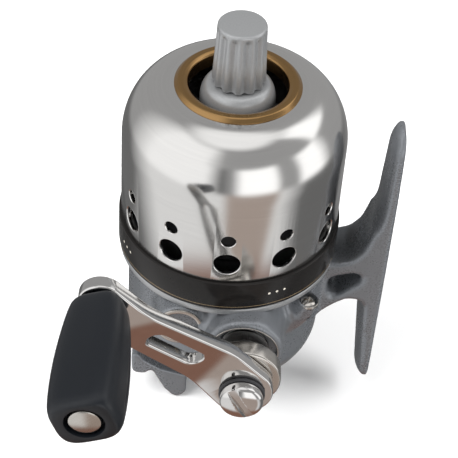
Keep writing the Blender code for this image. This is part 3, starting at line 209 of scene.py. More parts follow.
class Form:
    """A mesh being shaped, in millimetres."""

    def __init__(self) -> None:
        self.bm = bmesh.new()

    @classmethod
    def turned(cls, profile: Sequence[Point], steps: int = 96, ring: bool = False) -> Form:
        """Spins a profile about Z.

        Args:
            profile: (radius, height) points.
            steps: faces round it.
            ring: whether the profile closes on itself and so keeps off the axis.

        Returns:
            The turned form.
        """
        form = cls()
        points = [form.bm.verts.new((radius, 0.0, height)) for radius, height in profile]
        pairs = list(zip(points, points[1:])) + ([(points[-1], points[0])] if ring else [])
        edges = [form.bm.edges.new(pair) for pair in pairs]
        bmesh.ops.spin(form.bm, geom=points + edges, cent=(0, 0, 0), axis=(0, 0, 1), angle=math.tau,
                       steps=steps, use_merge=True)
        return form.cleaned()

    @classmethod
    def coil(cls, radius: float, wire: float, low: float, high: float, turns: int) -> Form:
        """Winds a round wire about Z so that it stays between two heights.

        Args:
            radius: from the axis to the middle of the wire.
            wire: the wire's own radius.
            low: the lower height.
            high: the upper height.
            turns: how many times it goes round.

        Returns:
            The wound wire, closed at both ends.
        """
        form = cls()
        steps, sides = turns * 40, 12
        rings = []
        for i in range(steps + 1):
            share = i / steps
            outward = Vector((*on_circle(1.0, math.tau * turns * share), 0.0))
            middle = outward * radius + Vector((0, 0, low + wire + (high - low - 2 * wire) * share))
            around = [on_circle(wire, math.tau * side / sides) for side in range(sides)]
            rings.append([form.bm.verts.new(middle + outward * a + Vector((0, 0, b))) for a, b in around])
        for first, second in zip(rings, rings[1:]):
            for side in range(sides):
                after = (side + 1) % sides
                form.bm.faces.new((first[side], first[after], second[after], second[side]))
        form.bm.faces.new(rings[0])
        form.bm.faces.new(rings[-1])
        return form.cleaned()

    @classmethod
    def plate(cls, outline: Sequence[Point], low: float, high: float) -> Form:
        """Raises an outline in X and Y from one height to another."""
        form = cls()
        face = form.bm.faces.new([form.bm.verts.new((a, b, low)) for a, b in outline])
        top = bmesh.ops.extrude_face_region(form.bm, geom=[face], use_keep_orig=True)["geom"]
        verts = [item for item in top if isinstance(item, bmesh.types.BMVert)]
        bmesh.ops.translate(form.bm, vec=(0, 0, high - low), verts=verts)
        return form.cleaned()

    @classmethod
    def rod(cls, radius: float, low: float, high: float, steps: int = 48) -> Form:
        """A plain round bar along Z."""
        form = cls()
        bmesh.ops.create_cone(form.bm, cap_ends=True, segments=steps, radius1=radius, radius2=radius,
                              depth=high - low, matrix=Matrix.Translation((0, 0, (low + high) / 2)))
        return form

    @classmethod
    def block(cls, low: Sequence[float], high: Sequence[float]) -> Form:
        """A plain block between two corners."""
        form = cls()
        size = Vector(high) - Vector(low)
        middle = (Vector(high) + Vector(low)) / 2
        bmesh.ops.create_cube(form.bm, size=1.0,
                              matrix=Matrix.Translation(middle) @ Matrix.Diagonal((*size, 1.0)))
        return form

    def cleaned(self) -> Form:
        """Merges doubles and turns the faces outwards."""
        bmesh.ops.remove_doubles(self.bm, verts=self.bm.verts, dist=0.0004)
        bmesh.ops.recalc_face_normals(self.bm, faces=self.bm.faces)
        return self

    def placed(self, matrix: Matrix) -> Form:
        """Moves the whole form."""
        bmesh.ops.transform(self.bm, matrix=matrix, verts=self.bm.verts)
        return self

    def reshaped(self, shape: Callable[[Vector], Sequence[float]]) -> Form:
        """Moves each point to where the shape puts it."""
        for vert in self.bm.verts:
            vert.co = Vector(shape(vert.co))
        self.bm.normal_update()
        return self

    def sliced(self, normal: Sequence[float], places: Sequence[float]) -> Form:
        """Adds an edge loop across the form at each distance along normal."""
        for place in places:
            everything = self.bm.verts[:] + self.bm.edges[:] + self.bm.faces[:]
            bmesh.ops.bisect_plane(self.bm, geom=everything, dist=1e-5, plane_no=normal,
                                   plane_co=Vector(normal) * place)
        return self

    def eased_edges(self, width: float, segments: int = 3, over: float = 40.0) -> Form:
        """Rounds every edge that turns by more than an angle in degrees."""
        limit = math.radians(over)
        sharp = [edge for edge in self.bm.edges if edge.is_manifold and edge.calc_face_angle(0.0) > limit]
        bmesh.ops.bevel(self.bm, geom=sharp, offset=width, offset_type="OFFSET", segments=segments,
                        profile=0.5, affect="EDGES", clamp_overlap=True, material=-1)
        return self

    def joined(self, *others: Form) -> Form:
        """Takes in other forms as they are, which may overlap this one."""
        for other in others:
            loose = bpy.data.meshes.new("loose")
            other.bm.to_mesh(loose)
            other.bm.free()
            self.bm.from_mesh(loose)
            bpy.data.meshes.remove(loose)
        return self

    def cut(self, *cutters: Form, keep: str = "DIFFERENCE", solver: str = "EXACT") -> Form:
        """Takes the cutters out of the form, which stays in millimetres."""
        tool = raw_object("cutter", cutters[0].joined(*cutters[1:]))
        work = raw_object("work", self)
        change = work.modifiers.new("cut", "BOOLEAN")
        change.operation = keep
        change.solver = solver
        change.object = tool
        return from_modifiers(work, tool)

    def cast(self, voxel: float, fillet: float, soften: int) -> Form:
        """Melts overlapping forms into one casting with soft inner corners.

        Args:
            voxel: size of the casting's grain.
            fillet: radius given to inner corners.
            soften: rounds of smoothing at the end.

        Returns:
            The casting.
        """
        work = raw_object("casting", self)
        for offset in (fillet, -fillet, 0.0):
            melt = work.modifiers.new("melt", "REMESH")
            melt.mode = "VOXEL"
            melt.voxel_size = voxel
            if offset:
                grow = work.modifiers.new("grow", "DISPLACE")
                grow.mid_level = 0.0
                grow.strength = offset
        smooth = work.modifiers.new("soften", "SMOOTH")
        smooth.factor = 0.5
        smooth.iterations = soften
        return from_modifiers(work)

    def piece(self, name: str, slot: Slot, body: Rides, *stands_for: str,
              sharp: float = 35.0) -> bpy.types.Object:
        """Makes the form a finished piece.

        Args:
            name: the piece's name.
            slot: its finish.
            body: what it rides on.
            stands_for: the CAD nodes that it replaces.
            sharp: edges that turn by more than this, in degrees, stay crisp.

        Returns:
            The piece.
        """
        self.placed(Matrix.Scale(MM, 4))
        obj = raw_object(name, self)
        obj.data.shade_smooth()
        obj.data.set_sharp_from_angle(angle=math.radians(sharp))
        obj.data.materials.clear()
        obj.data.materials.append(finish_for(slot))
        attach(obj, body.value)
        if stands_for:
            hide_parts(*stands_for)
        log.info("%s: %d faces", name, len(obj.data.polygons))
        return obj


def raw_object(name: str, form: Form) -> bpy.types.Object:
    """The form as an object in the scene."""
    mesh = bpy.data.meshes.new(name)
    form.bm.to_mesh(mesh)
    form.bm.free()
    obj = bpy.data.objects.new(name, mesh)
    bpy.context.scene.collection.objects.link(obj)
    return obj


def from_modifiers(work: bpy.types.Object, *tools: bpy.types.Object) -> Form:
    """The form that an object's modifiers give, with the object and its tools removed."""
    graph = bpy.context.evaluated_depsgraph_get()
    mesh = bpy.data.meshes.new_from_object(work.evaluated_get(graph))
    form = Form()
    form.bm.from_mesh(mesh)
    bpy.data.meshes.remove(mesh)
    for obj in (work, *tools):
        bpy.data.objects.remove(obj)
    return form


# Shader maths


class Wire:
    """A shader socket that sums are written with."""

    def __init__(self, shop: Shop, socket: bpy.types.NodeSocket) -> None:
        self.shop = shop
        self.socket = socket

    def maths(self, operation: str, first: Value, second: Value = 0.0) -> Wire:
        """A Math node on two values."""
        return self.shop.node("ShaderNodeMath", {"operation": operation}, {0: first, 1: second})

    def __add__(self, other: Value) -> Wire:
        """self + other."""
        return self.maths("ADD", self, other)

    __radd__ = __add__

    def __sub__(self, other: Value) -> Wire:
        """self - other."""
        return self.maths("SUBTRACT", self, other)

    def __rsub__(self, other: Value) -> Wire:
        """other - self."""
        return self.maths("SUBTRACT", other, self)

    def __mul__(self, other: Value) -> Wire:
        """self * other."""
        return self.maths("MULTIPLY", self, other)

    __rmul__ = __mul__

    def __truediv__(self, other: Value) -> Wire:
        """self / other."""
        return self.maths("DIVIDE", self, other)

    def __pow__(self, other: Value) -> Wire:
        """self to the power other."""
        return self.maths("POWER", self, other)

    def __lt__(self, other: Value) -> Wire:
        """1 where self is less than other."""
        return self.maths("LESS_THAN", self, other)

    def __abs__(self) -> Wire:
        """The distance from 0."""
        return self.maths("ABSOLUTE", self)

    def angle_to(self, other: Wire) -> Wire:
        """The angle whose sine goes with self and cosine with other."""
        return self.maths("ARCTAN2", self, other)


class Shop:
    """The node tree of one finish, or of the studio's surroundings."""

    def __init__(self, tree: bpy.types.NodeTree) -> None:
        self.tree = tree
        tree.nodes.clear()

    def node(self, kind: str, settings: dict | None = None, inputs: dict | None = None,
             output: int | str = 0) -> Wire:
        """Makes a node.

        Args:
            kind: the node's type.
            settings: its own settings, with a ramp's stops under "stops".
            inputs: a value or a wire for each socket that isn't left as it is.
            output: which output to return.

        Returns:
            That output.
        """
        made = self.tree.nodes.new(kind)
        for key, value in (settings or {}).items():
            if key == "stops":
                ramp = made.color_ramp
                while len(ramp.elements) < len(value):
                    ramp.elements.new(0.5)
                for stop, (place, level) in zip(ramp.elements, value):
                    stop.position = place
                    stop.color = (level, level, level, 1.0) if isinstance(level, float) else (*level, 1.0)
            else:
                setattr(made, key, value)
        for key, value in (inputs or {}).items():
            if isinstance(value, Wire):
                self.tree.links.new(value.socket, made.inputs[key])
            else:
                made.inputs[key].default_value = value
        return Wire(self, made.outputs[output]) if made.outputs else Wire(self, made.inputs[0])

    def millimetres(self, centre: Vector | None = None) -> Wire:
        """Object coordinates in millimetres from a centre."""
        where = self.node("ShaderNodeTexCoord", output="Object")
        shift = tuple(-(centre or Vector((0, 0, 0))))
        return self.node("ShaderNodeMapping",
                         {}, {"Vector": where, "Scale": (1 / MM,) * 3, "Location": shift})

    def split(self, vector: Wire) -> tuple[Wire, Wire, Wire]:
        """A vector's three parts."""
        node = self.tree.nodes.new("ShaderNodeSeparateXYZ")
        self.tree.links.new(vector.socket, node.inputs[0])
        return tuple(Wire(self, node.outputs[i]) for i in range(3))

    def joint(self, x: Value, y: Value, z: Value) -> Wire:
        """A vector from three parts."""
        return self.node("ShaderNodeCombineXYZ", {}, {0: x, 1: y, 2: z})

    def noise(self, vector: Wire, scale: float, detail: float = 2.0) -> Wire:
        """Cloudy noise from 0 to 1."""
        return self.node("ShaderNodeTexNoise", {}, {"Vector": vector, "Scale": scale, "Detail": detail})

    def blend(self, share: Wire, first: Sequence[float], second: Sequence[float] | Wire) -> Wire:
        """A colour between two."""
        second = second if isinstance(second, Wire) else (*second, 1.0)
        return self.node("ShaderNodeMix", {"data_type": "RGBA"}, {0: share, 6: (*first, 1.0), 7: second}, 2)

    def rise(self, value: Wire, start: float, end: float) -> Wire:
        """0 below start and 1 above end, with a smooth step between."""
        return self.node("ShaderNodeMapRange", {"interpolation_type": "SMOOTHSTEP"},
                         {0: value, 1: start, 2: end, 3: 0.0, 4: 1.0})

    def ramp(self, turn: Wire, stops: Sequence[tuple[float, float | Corner]]) -> Wire:
        """A ring of brightness, with its stops in degrees."""
        places = [(degrees / 360 + 0.5, level) for degrees, level in stops]
        return self.node("ShaderNodeValToRGB", {"stops": places}, {0: turn})

    def bump(self, height: Wire, depth: float) -> Wire:
        """A bump of that depth in millimetres."""
        return self.node("ShaderNodeBump", {}, {"Height": height, "Distance": depth * MM, "Strength": 1.0})


@dataclass(frozen=True)
class Finish:
    """A finish: a colour pair mixed by its own pattern, a roughness pair and a bump depth."""

    name: str
    light: Corner
    dark: Corner
    metallic: float
    rough: Point
    grain: float
    depth: float
    coat: float = 0.0
    coat_rough: float = 0.08
    shine: float = 0.5

    def pattern(self, shop: Shop) -> Wire:
        """The pattern from 0 to 1 that drives colour, roughness and bump."""
        return shop.noise(shop.millimetres(), self.grain, 3.0)

    def colour(self, shop: Shop, pattern: Wire) -> Wire:
        """The base colour."""
        return shop.blend(pattern, self.dark, self.light)

    def roughness(self, shop: Shop, pattern: Wire) -> Wire:
        """Roughness from the pattern and a slow handling smear."""
        smear = shop.noise(shop.millimetres(), 0.13, 2.0)
        return self.rough[0] + (self.rough[1] - self.rough[0]) * (0.5 * pattern + 0.5 * smear)

    def made(self) -> bpy.types.Material:
        """The finish as a material."""
        material = bpy.data.materials.new(self.name)
        material.use_nodes = True
        shop = Shop(material.node_tree)
        pattern = self.pattern(shop)
        inputs = {"Base Color": self.colour(shop, pattern), "Metallic": self.metallic,
                  "Roughness": self.roughness(shop, pattern), "Coat Weight": self.coat,
                  "Coat Roughness": self.coat_rough, "Specular IOR Level": self.shine}
        if self.depth:
            inputs["Normal"] = shop.bump(pattern, self.depth)
        surface = shop.node("ShaderNodeBsdfPrincipled", {}, inputs)
        shop.node("ShaderNodeOutputMaterial", {}, {"Surface": surface})
        return material


@dataclass(frozen=True)
class TurnedFinish(Finish):
    """Metal brushed in rings round an axis."""

    centre: tuple[float, float, float] = (0.0, 0.0, 0.0)
    along: str = "Z"

    def pattern(self, shop: Shop) -> Wire:
        """Fine lines that follow the lathe."""
        x, y, z = shop.split(shop.millimetres(Vector(self.centre)))
        if self.along == "Y":
            y, z = z, y
        reach = (x * x + y * y) ** 0.5
        rings = (z - reach) * self.grain
        fine = shop.noise(shop.joint(x * 0.11, y * 0.11, rings), 1.0, 2.0)
        broad = shop.noise(shop.joint(x * 0.05, y * 0.05, rings * 0.3), 1.0, 1.0)
        return 0.6 * fine + 0.4 * broad


@dataclass(frozen=True)
class BandFinish(Finish):
    """Black glossy band with groups of three pale dots and a thin gold line near its lower edge."""

    radius: float = 20.4
    dot_groups: int = 4
    dot_turn: float = math.radians(90.0 - 27.0)
    dot_gap: float = 1.5
    dot_height: float = -3.2
    dot_area: float = 0.06
    dot_colour: Corner = (0.62, 0.58, 0.5)
    line_height: float = -5.75
    line_half: float = 0.05
    line_colour: Corner = (0.26, 0.19, 0.11)

    def colour(self, shop: Shop, pattern: Wire) -> Wire:
        """Black, with the printed dots and line."""
        centre = joint_spot("pinion_spin")
        x, y, z = shop.split(shop.millimetres(centre))
        step = math.tau / self.dot_groups
        turn = y.angle_to(x) + self.dot_turn
        folded = shop.node("ShaderNodeMath", {"operation": "WRAP"}, {0: turn, 1: step / 2, 2: -step / 2})
        along = folded * self.radius
        dots: Value = 0.0
        for offset in (-self.dot_gap, 0.0, self.dot_gap):
            away = (along - offset) ** 2 + (z - self.dot_height) ** 2
            dots = (away < self.dot_area) + dots
        line = abs(z - self.line_height) < self.line_half
        base = shop.blend(pattern, self.dark, self.light)
        lined = shop.node("ShaderNodeMix", {"data_type": "RGBA"},
                          {0: line, 6: base, 7: (*self.line_colour, 1)}, 2)
        return shop.node("ShaderNodeMix", {"data_type": "RGBA"},
                         {0: dots, 6: lined, 7: (*self.dot_colour, 1)}, 2)


MAIN_CENTRE = tuple(joint_spot("pinion_spin"))
CRANK_CENTRE = tuple(joint_spot("crank_turn"))

FINISHES = {
    Slot.CAST: Finish(
        "cast_paint", light=(0.215, 0.225, 0.24), dark=(0.17, 0.18, 0.195),
        metallic=0.6, rough=(0.22, 0.34), grain=2.6, depth=0.003),
    Slot.COVER: TurnedFinish(
        "brushed_cover", light=(0.86, 0.85, 0.83), dark=(0.74, 0.73, 0.72),
        metallic=1.0, rough=(0.09, 0.22), grain=7.0, depth=0.001, centre=MAIN_CENTRE),
    Slot.GOLD: TurnedFinish(
        "ring_gold", light=(0.50, 0.31, 0.13), dark=(0.33, 0.19, 0.08),
        metallic=1.0, rough=(0.16, 0.32), grain=8.0, depth=0.001, centre=MAIN_CENTRE),
    Slot.BAND: BandFinish(
        "band_gloss", light=(0.014, 0.012, 0.011), dark=(0.008, 0.008, 0.008),
        metallic=0.0, rough=(0.1, 0.22), grain=1.5, depth=0.0, shine=0.2),
    Slot.CHROME: Finish(
        "arm_chrome", light=(0.80, 0.79, 0.78), dark=(0.70, 0.69, 0.68),
        metallic=1.0, rough=(0.05, 0.13), grain=0.4, depth=0.0),
    Slot.NICKEL: TurnedFinish(
        "turned_nickel", light=(0.72, 0.69, 0.65), dark=(0.56, 0.53, 0.49),
        metallic=1.0, rough=(0.14, 0.28), grain=9.0, depth=0.0008, centre=CRANK_CENTRE, along="Y"),
    Slot.RUBBER: Finish(
        "grip_skin", light=(0.007, 0.0085, 0.011), dark=(0.004, 0.005, 0.007),
        metallic=0.0, rough=(0.3, 0.44), grain=5.0, depth=0.006, shine=0.4),
    Slot.KNOB: Finish(
        "knob_paint", light=(0.38, 0.385, 0.39), dark=(0.29, 0.295, 0.30),
        metallic=0.6, rough=(0.24, 0.36), grain=4.0, depth=0.003),
    Slot.STEEL: Finish(
        "inner_steel", light=(0.60, 0.60, 0.60), dark=(0.45, 0.45, 0.46),
        metallic=1.0, rough=(0.25, 0.42), grain=3.0, depth=0.002),
    Slot.BRASS: Finish(
        "inner_brass", light=(0.68, 0.50, 0.22), dark=(0.52, 0.36, 0.15),
        metallic=1.0, rough=(0.24, 0.4), grain=2.5, depth=0.002),
    Slot.PLASTIC: Finish(
        "moulded_black", light=(0.030, 0.030, 0.033), dark=(0.018, 0.018, 0.020),
        metallic=0.0, rough=(0.35, 0.55), grain=3.0, depth=0.006),
    Slot.FELT: Finish(
        "pressed_felt", light=(0.30, 0.27, 0.22), dark=(0.18, 0.16, 0.13),
        metallic=0.0, rough=(0.8, 0.95), grain=6.0, depth=0.03),
}
_made: dict[Slot, bpy.types.Material] = {}


def finish_for(slot: Slot) -> bpy.types.Material:
    """The one material of a slot."""
    if slot not in _made:
        _made[slot] = FINISHES[slot].made()
    return _made[slot]


# Sub-assemblies


@dataclass
class Cover:
    """Brushed metal hood with its vents, black band and gold line ring."""

    radius: float = 20.0
    straight: float = 17.25
    height: float = 28.4
    wall: float = 0.7
    mouth: float = 8.7
    ring: float = 11.1
    band: float = 20.4
    band_height: float = 6.46
    vents: int = 12
    vent_rows: tuple[Point, ...] = ((2.33, 4.38), (1.25, 9.78))

    def build(self) -> None:
        """Builds every piece of the cover."""
        self.build_hood()
        self.build_vent_rims()
        self.build_band()
        self.build_ring()

    def build_hood(self) -> None:
        """The drawn hood, cut by its vents."""
        skirt = self.band - 1.3
        top_inner = self.height - 0.8
        seat = self.mouth + 0.9
        outer = squared_arc((self.radius, self.straight), (self.ring - 0.2, self.height), 2.05, 36)
        inner = squared_arc((self.radius - self.wall, self.straight), (self.ring - 0.2, top_inner), 2.05, 20)
        profile = [(seat, self.height - 0.3), (self.ring - 0.4, self.height - 0.3), *outer[::-1]]
        profile += [(self.radius, 0.35), (self.radius - 0.1, 0.1), (self.radius - 0.35, 0.0), (skirt, 0.0)]
        profile += [(skirt, -self.band_height), (skirt - 0.9, -self.band_height), (skirt - 0.9, 0.6)]
        profile += [(self.radius - self.wall, 1.6), *inner, (seat, top_inner)]
        hood = Form.turned(profile, 180, ring=True)
        cutters = []
        for radius, height, around in self.vent_places():
            hole = Form.rod(radius + 0.1, -2.6, 2.0, 40)
            out = Matrix.Translation((self.radius, 0, height)) @ Matrix.Rotation(math.pi / 2, 4, "Y")
            cutters.append(hole.placed(Matrix.Rotation(around, 4, "Z") @ out))
        hood = hood.cut(*cutters).placed(MAIN)
        hood.piece("hood", Slot.COVER, Rides.REEL, "front_cover", sharp=30.0)

    def vent_places(self) -> list[tuple[float, float, float]]:
        """(radius, height, angle) of every vent."""
        turns = [math.tau * i / self.vents - math.pi / 2 for i in range(self.vents)]
        return [(radius, height, turn) for turn in turns for radius, height in self.vent_rows]

    def build_vent_rims(self) -> None:
        """The chamfered lining of each vent, curved to the hood's wall."""
        rims = Form()
        for radius, height, around in self.vent_places():
            profile = rounded([(radius + 0.16, -0.03, 0.0), (radius + 0.16, 0.012, 0.02),
                               (radius + 0.1, 0.012, 0.03),
                               (radius, -0.13, 0.06), (radius, -0.3, 0.0), (radius + 0.14, -0.3, 0.0)], 3)
            rim = Form.turned(profile, 40, ring=True)
            rim.reshaped(lambda co, h=height, t=around: self.on_wall(co, h, t))
            rims.joined(rim)
        rims.placed(MAIN).piece("vent_rims", Slot.COVER, Rides.REEL)

    def on_wall(self, co: Vector, height: float, around: float) -> Sequence[float]:
        """Bends a flat point round the hood's wall."""
        x, y = on_circle(self.radius + co.z, around + co.x / self.radius)
        return x, y, height + co.y

    def build_band(self) -> None:
        """The black printed band."""
        low = -self.band_height
        inner = self.band - 1.0
        profile = rounded([(inner, low, 0), (self.band, low, 0.18), (self.band, -0.12, 0.22),
                           (inner, -0.12, 0)], 4)
        Form.turned(profile, 180, ring=True).placed(MAIN).piece("band", Slot.BAND, Rides.REEL, "label_band")

    def build_ring(self) -> None:
        """The gold line ring, turned with a short sleeve below it."""
        top = self.height
        sleeve = self.mouth + 0.55
        bead = [(self.mouth, top - 2.0, 0), (self.mouth, top + 0.45, 0.5),
                (self.mouth + 0.75, top + 0.8, 0.5),
                (self.ring - 0.7, top + 0.8, 0.6), (self.ring, top + 0.1, 0.3), (self.ring, top + 0.02, 0),
                (sleeve, top + 0.02, 0), (sleeve, top - 2.0, 0)]
        ring = Form.turned(rounded(bead, 6), 160, ring=True).placed(MAIN)
        ring.piece("gold_ring", Slot.GOLD, Rides.REEL, "line_ring")


@dataclass
class Casting:
    """Cast body with its bosses, screw lugs, stem and rod foot."""

    radius: float = 18.5
    wall: float = 2.1
    straight: float = -25.0
    rear: float = -35.3
    seat: float = 30.1
    front_tip: float = 21.5
    rear_tip: float = -41.6
    half_width: float = 5.4
    tip_half: float = 4.2
    rear_round: float = 2.8
    boss: float = 7.3
    boss_reach: float = 22.9
    side_boss: float = 4.6
    lug_circle: float = 21.0
    lug_top: float = -8.9
    lug_turns: tuple[float, ...] = (-43.0, 43.0, 137.0)

    def build(self) -> None:
        """Builds the casting and the bright parts on it."""
        crank = MAIN.inverted() @ CRANK
        melt = self.bowl().joined(self.foot(), *self.bosses(crank), *self.lugs(), *self.lever_lugs())
        body = melt.cast(0.42, 0.9, 6)
        body = body.cut(*self.cutters(crank), solver="MANIFOLD").placed(MAIN)
        body.piece("cast_body", Slot.CAST, Rides.REEL, "body", sharp=42.0)
        self.build_lip()
        self.build_boss_faces(crank)
        self.build_lug_screws()
        self.build_bushes()

    def bowl(self) -> Form:
        """The hollow round body."""
        spigot = self.radius - 0.6
        inner = self.radius - self.wall
        outer_arc = squared_arc((self.radius, self.straight), (0.0, self.rear), 2.25, 28)
        inner_arc = squared_arc((inner, self.straight), (0.0, self.rear + self.wall), 2.25, 20)
        profile = [(spigot, -1.0), (spigot, -8.1), (self.radius, -8.2), *outer_arc, *inner_arc[::-1],
                   (inner, -1.0)]
        return Form.turned(profile, 120, ring=True)

    def foot(self) -> Form:
        """Stem and both tongues from their side outline, with the window left out."""
        seat = self.seat
        outline = rounded([(16.0, -8.4, 0), (20.4, -8.2, 1.5), (23.0, -7.4, 3.0), (25.0, -5.0, 3.5),
                           (26.2, -1.0, 5.0), (26.9, 5.0, 10.0), (seat - 2.7, self.front_tip - 3.5, 4.0),
                           (seat - 1.7, self.front_tip, 0.7), (seat - 0.4, self.front_tip, 0.5),
                           (seat, self.front_tip - 1.2, 0.8), (seat, self.rear_tip + 1.2, 0.8),
                           (seat - 0.4, self.rear_tip, 0.5), (seat - 1.7, self.rear_tip, 0.7),
                           (seat - 2.7, self.rear_tip + 2.5, 2.0), (25.9, -18.6, 2.0), (25.0, -17.3, 1.2),
                           (23.2, -17.4, 2.0), (20.2, -19.8, 4.0), (17.8, -22.6, 3.0), (16.0, -23.4, 0)], 5)
        window = rounded([(24.4, -10.4, 0.8), (25.9, -11.3, 0.6), (25.7, -12.6, 0.8), (19.7, -18.2, 0.8),
                          (19.5, -11.9, 1.0)], 5)
        foot = Form.plate(outline, -self.half_width, self.half_width)
        foot = foot.cut(Form.plate(window, -self.half_width - 1, self.half_width + 1)).placed(ACROSS)
        foot.sliced((0, 1, 0), [-4.5, -3.6, -2.7, -1.8, -0.9, 0.0, 0.9, 1.8, 2.7, 3.6, 4.5])
        foot.sliced((0, 0, 1), [self.rear_tip + 0.3 * i for i in range(1, 24)])
        foot.sliced((0, 0, 1), [self.front_tip - 0.3 * i for i in range(1, 24)])
        foot.sliced((0, 0, 1), [self.front_tip - 6.9 - i for i in range(1, 22)])
        return foot.reshaped(self.tongue_shape)

    def tongue_shape(self, co: Vector) -> Sequence[float]:
        """Tapers and rounds the tongues seen from the rod, and thins their inner edges."""
        half = self.half_width
        to_tip = min(self.front_tip - co.z, co.z - self.rear_tip)
        narrow = self.tip_half + (half - self.tip_half) * min(to_tip / 14.0, 1.0)
        reach = self.tip_half if co.z > 0 else self.rear_round
        round_off = math.sqrt(max(1 - (1 - min(to_tip / reach, 1.0)) ** 2, 0.0))
        width = narrow * (0.16 + 0.84 * round_off)
        y = co.y / half * width
        inner = eased(self.seat - co.x, 1.0, 2.4) * (1.0 - eased(self.seat - co.x, 4.2, 7.0))
        clear = 1.0 if co.z > 0 else eased(-co.z, 15.0, 19.0)
        clear *= eased(co.z, -4.0, 4.0) if co.z > -10 else 1.0
        return co.x + 1.25 * inner * clear * (co.y / half) ** 2, y, co.z

    def bosses(self, crank: Matrix) -> list[Form]:
        """Crank boss, side boss and far boss."""
        reach = self.boss_reach
        near = Form.turned(rounded([(0, 10, 0), (self.boss + 1.2, 10, 0), (self.boss + 0.1, 17.5, 4),
                                    (self.boss, reach, 0.7), (0, reach, 0)], 4, closed=False), 72)
        side = Form.turned(rounded([(0, 10, 0), (self.side_boss + 0.8, 10, 0), (self.side_boss, 17.0, 3),
                                    (self.side_boss, 19.6, 0.5), (0, 19.6, 0)], 4, closed=False), 60)
        side.placed(Matrix.Translation((-11.88, 2.1, 0)))
        far = Form.turned(rounded([(0, -10, 0), (7.0, -10, 0), (6.4, -16, 3), (6.4, -20.4, 0.6),
                                   (0, -20.4, 0)], 4,
                                  closed=False), 60)
        return [form.cleaned().placed(crank) for form in (near, side, far)]

    def lugs(self) -> list[Form]:
        """Screw lugs that run down into the wall."""
        forms = []
        for turn in self.lug_turns:
            lug = Form()
            for radius, out, height in ((2.15, self.lug_circle - 0.1, self.lug_top + 0.5),
                                        (2.3, 19.6, self.lug_top - 4.0),
                                        (2.6, 17.2, self.lug_top - 8.0), (2.2, 15.0, self.lug_top - 11.0)):
                bmesh.ops.create_circle(lug.bm, segments=32, radius=radius,
                                        matrix=Matrix.Translation((out, 0, height)))
            hull = bmesh.ops.convex_hull(lug.bm, input=lug.bm.verts)
            spare = [item for item in hull["geom_interior"] if isinstance(item, bmesh.types.BMVert)]
            bmesh.ops.delete(lug.bm, geom=spare, context="VERTS")
            forms.append(lug.cleaned().placed(Matrix.Rotation(math.radians(turn), 4, "Z")))
        return forms

    def lever_lugs(self) -> list[Form]:
        """The two inner lugs that hold the lever's pin."""
        spot = MAIN.inverted() @ joint_spot("thumb_lever")
        return [Form.block((spot.x - 1.6, min(a, b), spot.z - 4.0), (spot.x + 2.2, max(a, b), spot.z + 1.7))
                for a, b in ((2.5, 3.5), (-2.5, -3.5))]

    def cutters(self, crank: Matrix) -> list[Form]:
        """Bores, recesses and the lever's slot."""
        spot = MAIN.inverted() @ joint_spot("thumb_lever")
        cuts = [Form.turned([(0, -22), (4.5, -22), (4.5, 21.4), (6.2, 21.4), (6.2, 24.5), (0, 24.5)],
                            96).placed(crank)]
        side = Form.rod(3.5, 18.2, 22.0, 64).placed(crank @ Matrix.Translation((-11.88, 2.1, 0)))
        cuts.append(side)
        cuts.append(Form.block((spot.x - 4.6, -2.5, self.rear - 1), (spot.x + 5.5, 2.5, spot.z - 0.2)))
        for turn in self.lug_turns:
            hole = Form.turned([(0, -13.2), (1.05, -13.2), (1.05, -9.8), (1.75, -9.8), (1.75, -8.3),
                                (0, -8.3)], 32)
            hole.placed(Matrix.Rotation(math.radians(turn), 4,
                                        "Z") @ Matrix.Translation((self.lug_circle, 0, 0)))
            cuts.append(hole)
        return cuts

    def build_lip(self) -> None:
        """The rounded lip under the band, in lighter paint that stands in for a highlight on its rim."""
        profile = rounded([(17.5, -6.6, 0), (20.0, -6.6, 0.25), (20.2, -7.0, 0.2), (20.2, -8.16, 0.5),
                           (17.5, -8.3, 0)], 5)
        # Painted highlight: the lip takes the lighter knob paint instead of the body's cast paint, to show a
        # bright rim under the band.
        Form.turned(profile, 180, ring=True).placed(MAIN).piece("lip", Slot.KNOB, Rides.REEL)

    def build_boss_faces(self, crank: Matrix) -> None:
        """Machined faces on the crank boss, the side boss and the screw lugs."""
        reach = self.boss_reach
        face = Form.turned(rounded([(6.15, reach - 0.6, 0), (6.36, reach - 0.6, 0),
                                    (6.36, reach + 0.03, 0.08),
                                    (6.15, reach + 0.03, 0.08)], 3), 96, ring=True).placed(crank)
        side = Form.turned(rounded([(3.45, 19.0, 0), (4.25, 19.0, 0), (4.25, 19.63, 0.12),
                                    (3.45, 19.63, 0.12)], 3),
                           72, ring=True).placed(crank @ Matrix.Translation((-11.88, 2.1, 0)))
        face.joined(side)
        for turn in self.lug_turns:
            rim = Form.turned(rounded([(1.75, -9.3, 0), (1.95, -9.3, 0), (1.95, -8.86, 0.08),
                                       (1.75, -8.86, 0.08)], 3),
                              40, ring=True)
            rim.placed(Matrix.Rotation(math.radians(turn), 4,
                                       "Z") @ Matrix.Translation((self.lug_circle, 0, 0)))
            face.joined(rim)
        face.placed(MAIN).piece("machined_faces", Slot.NICKEL, Rides.REEL)

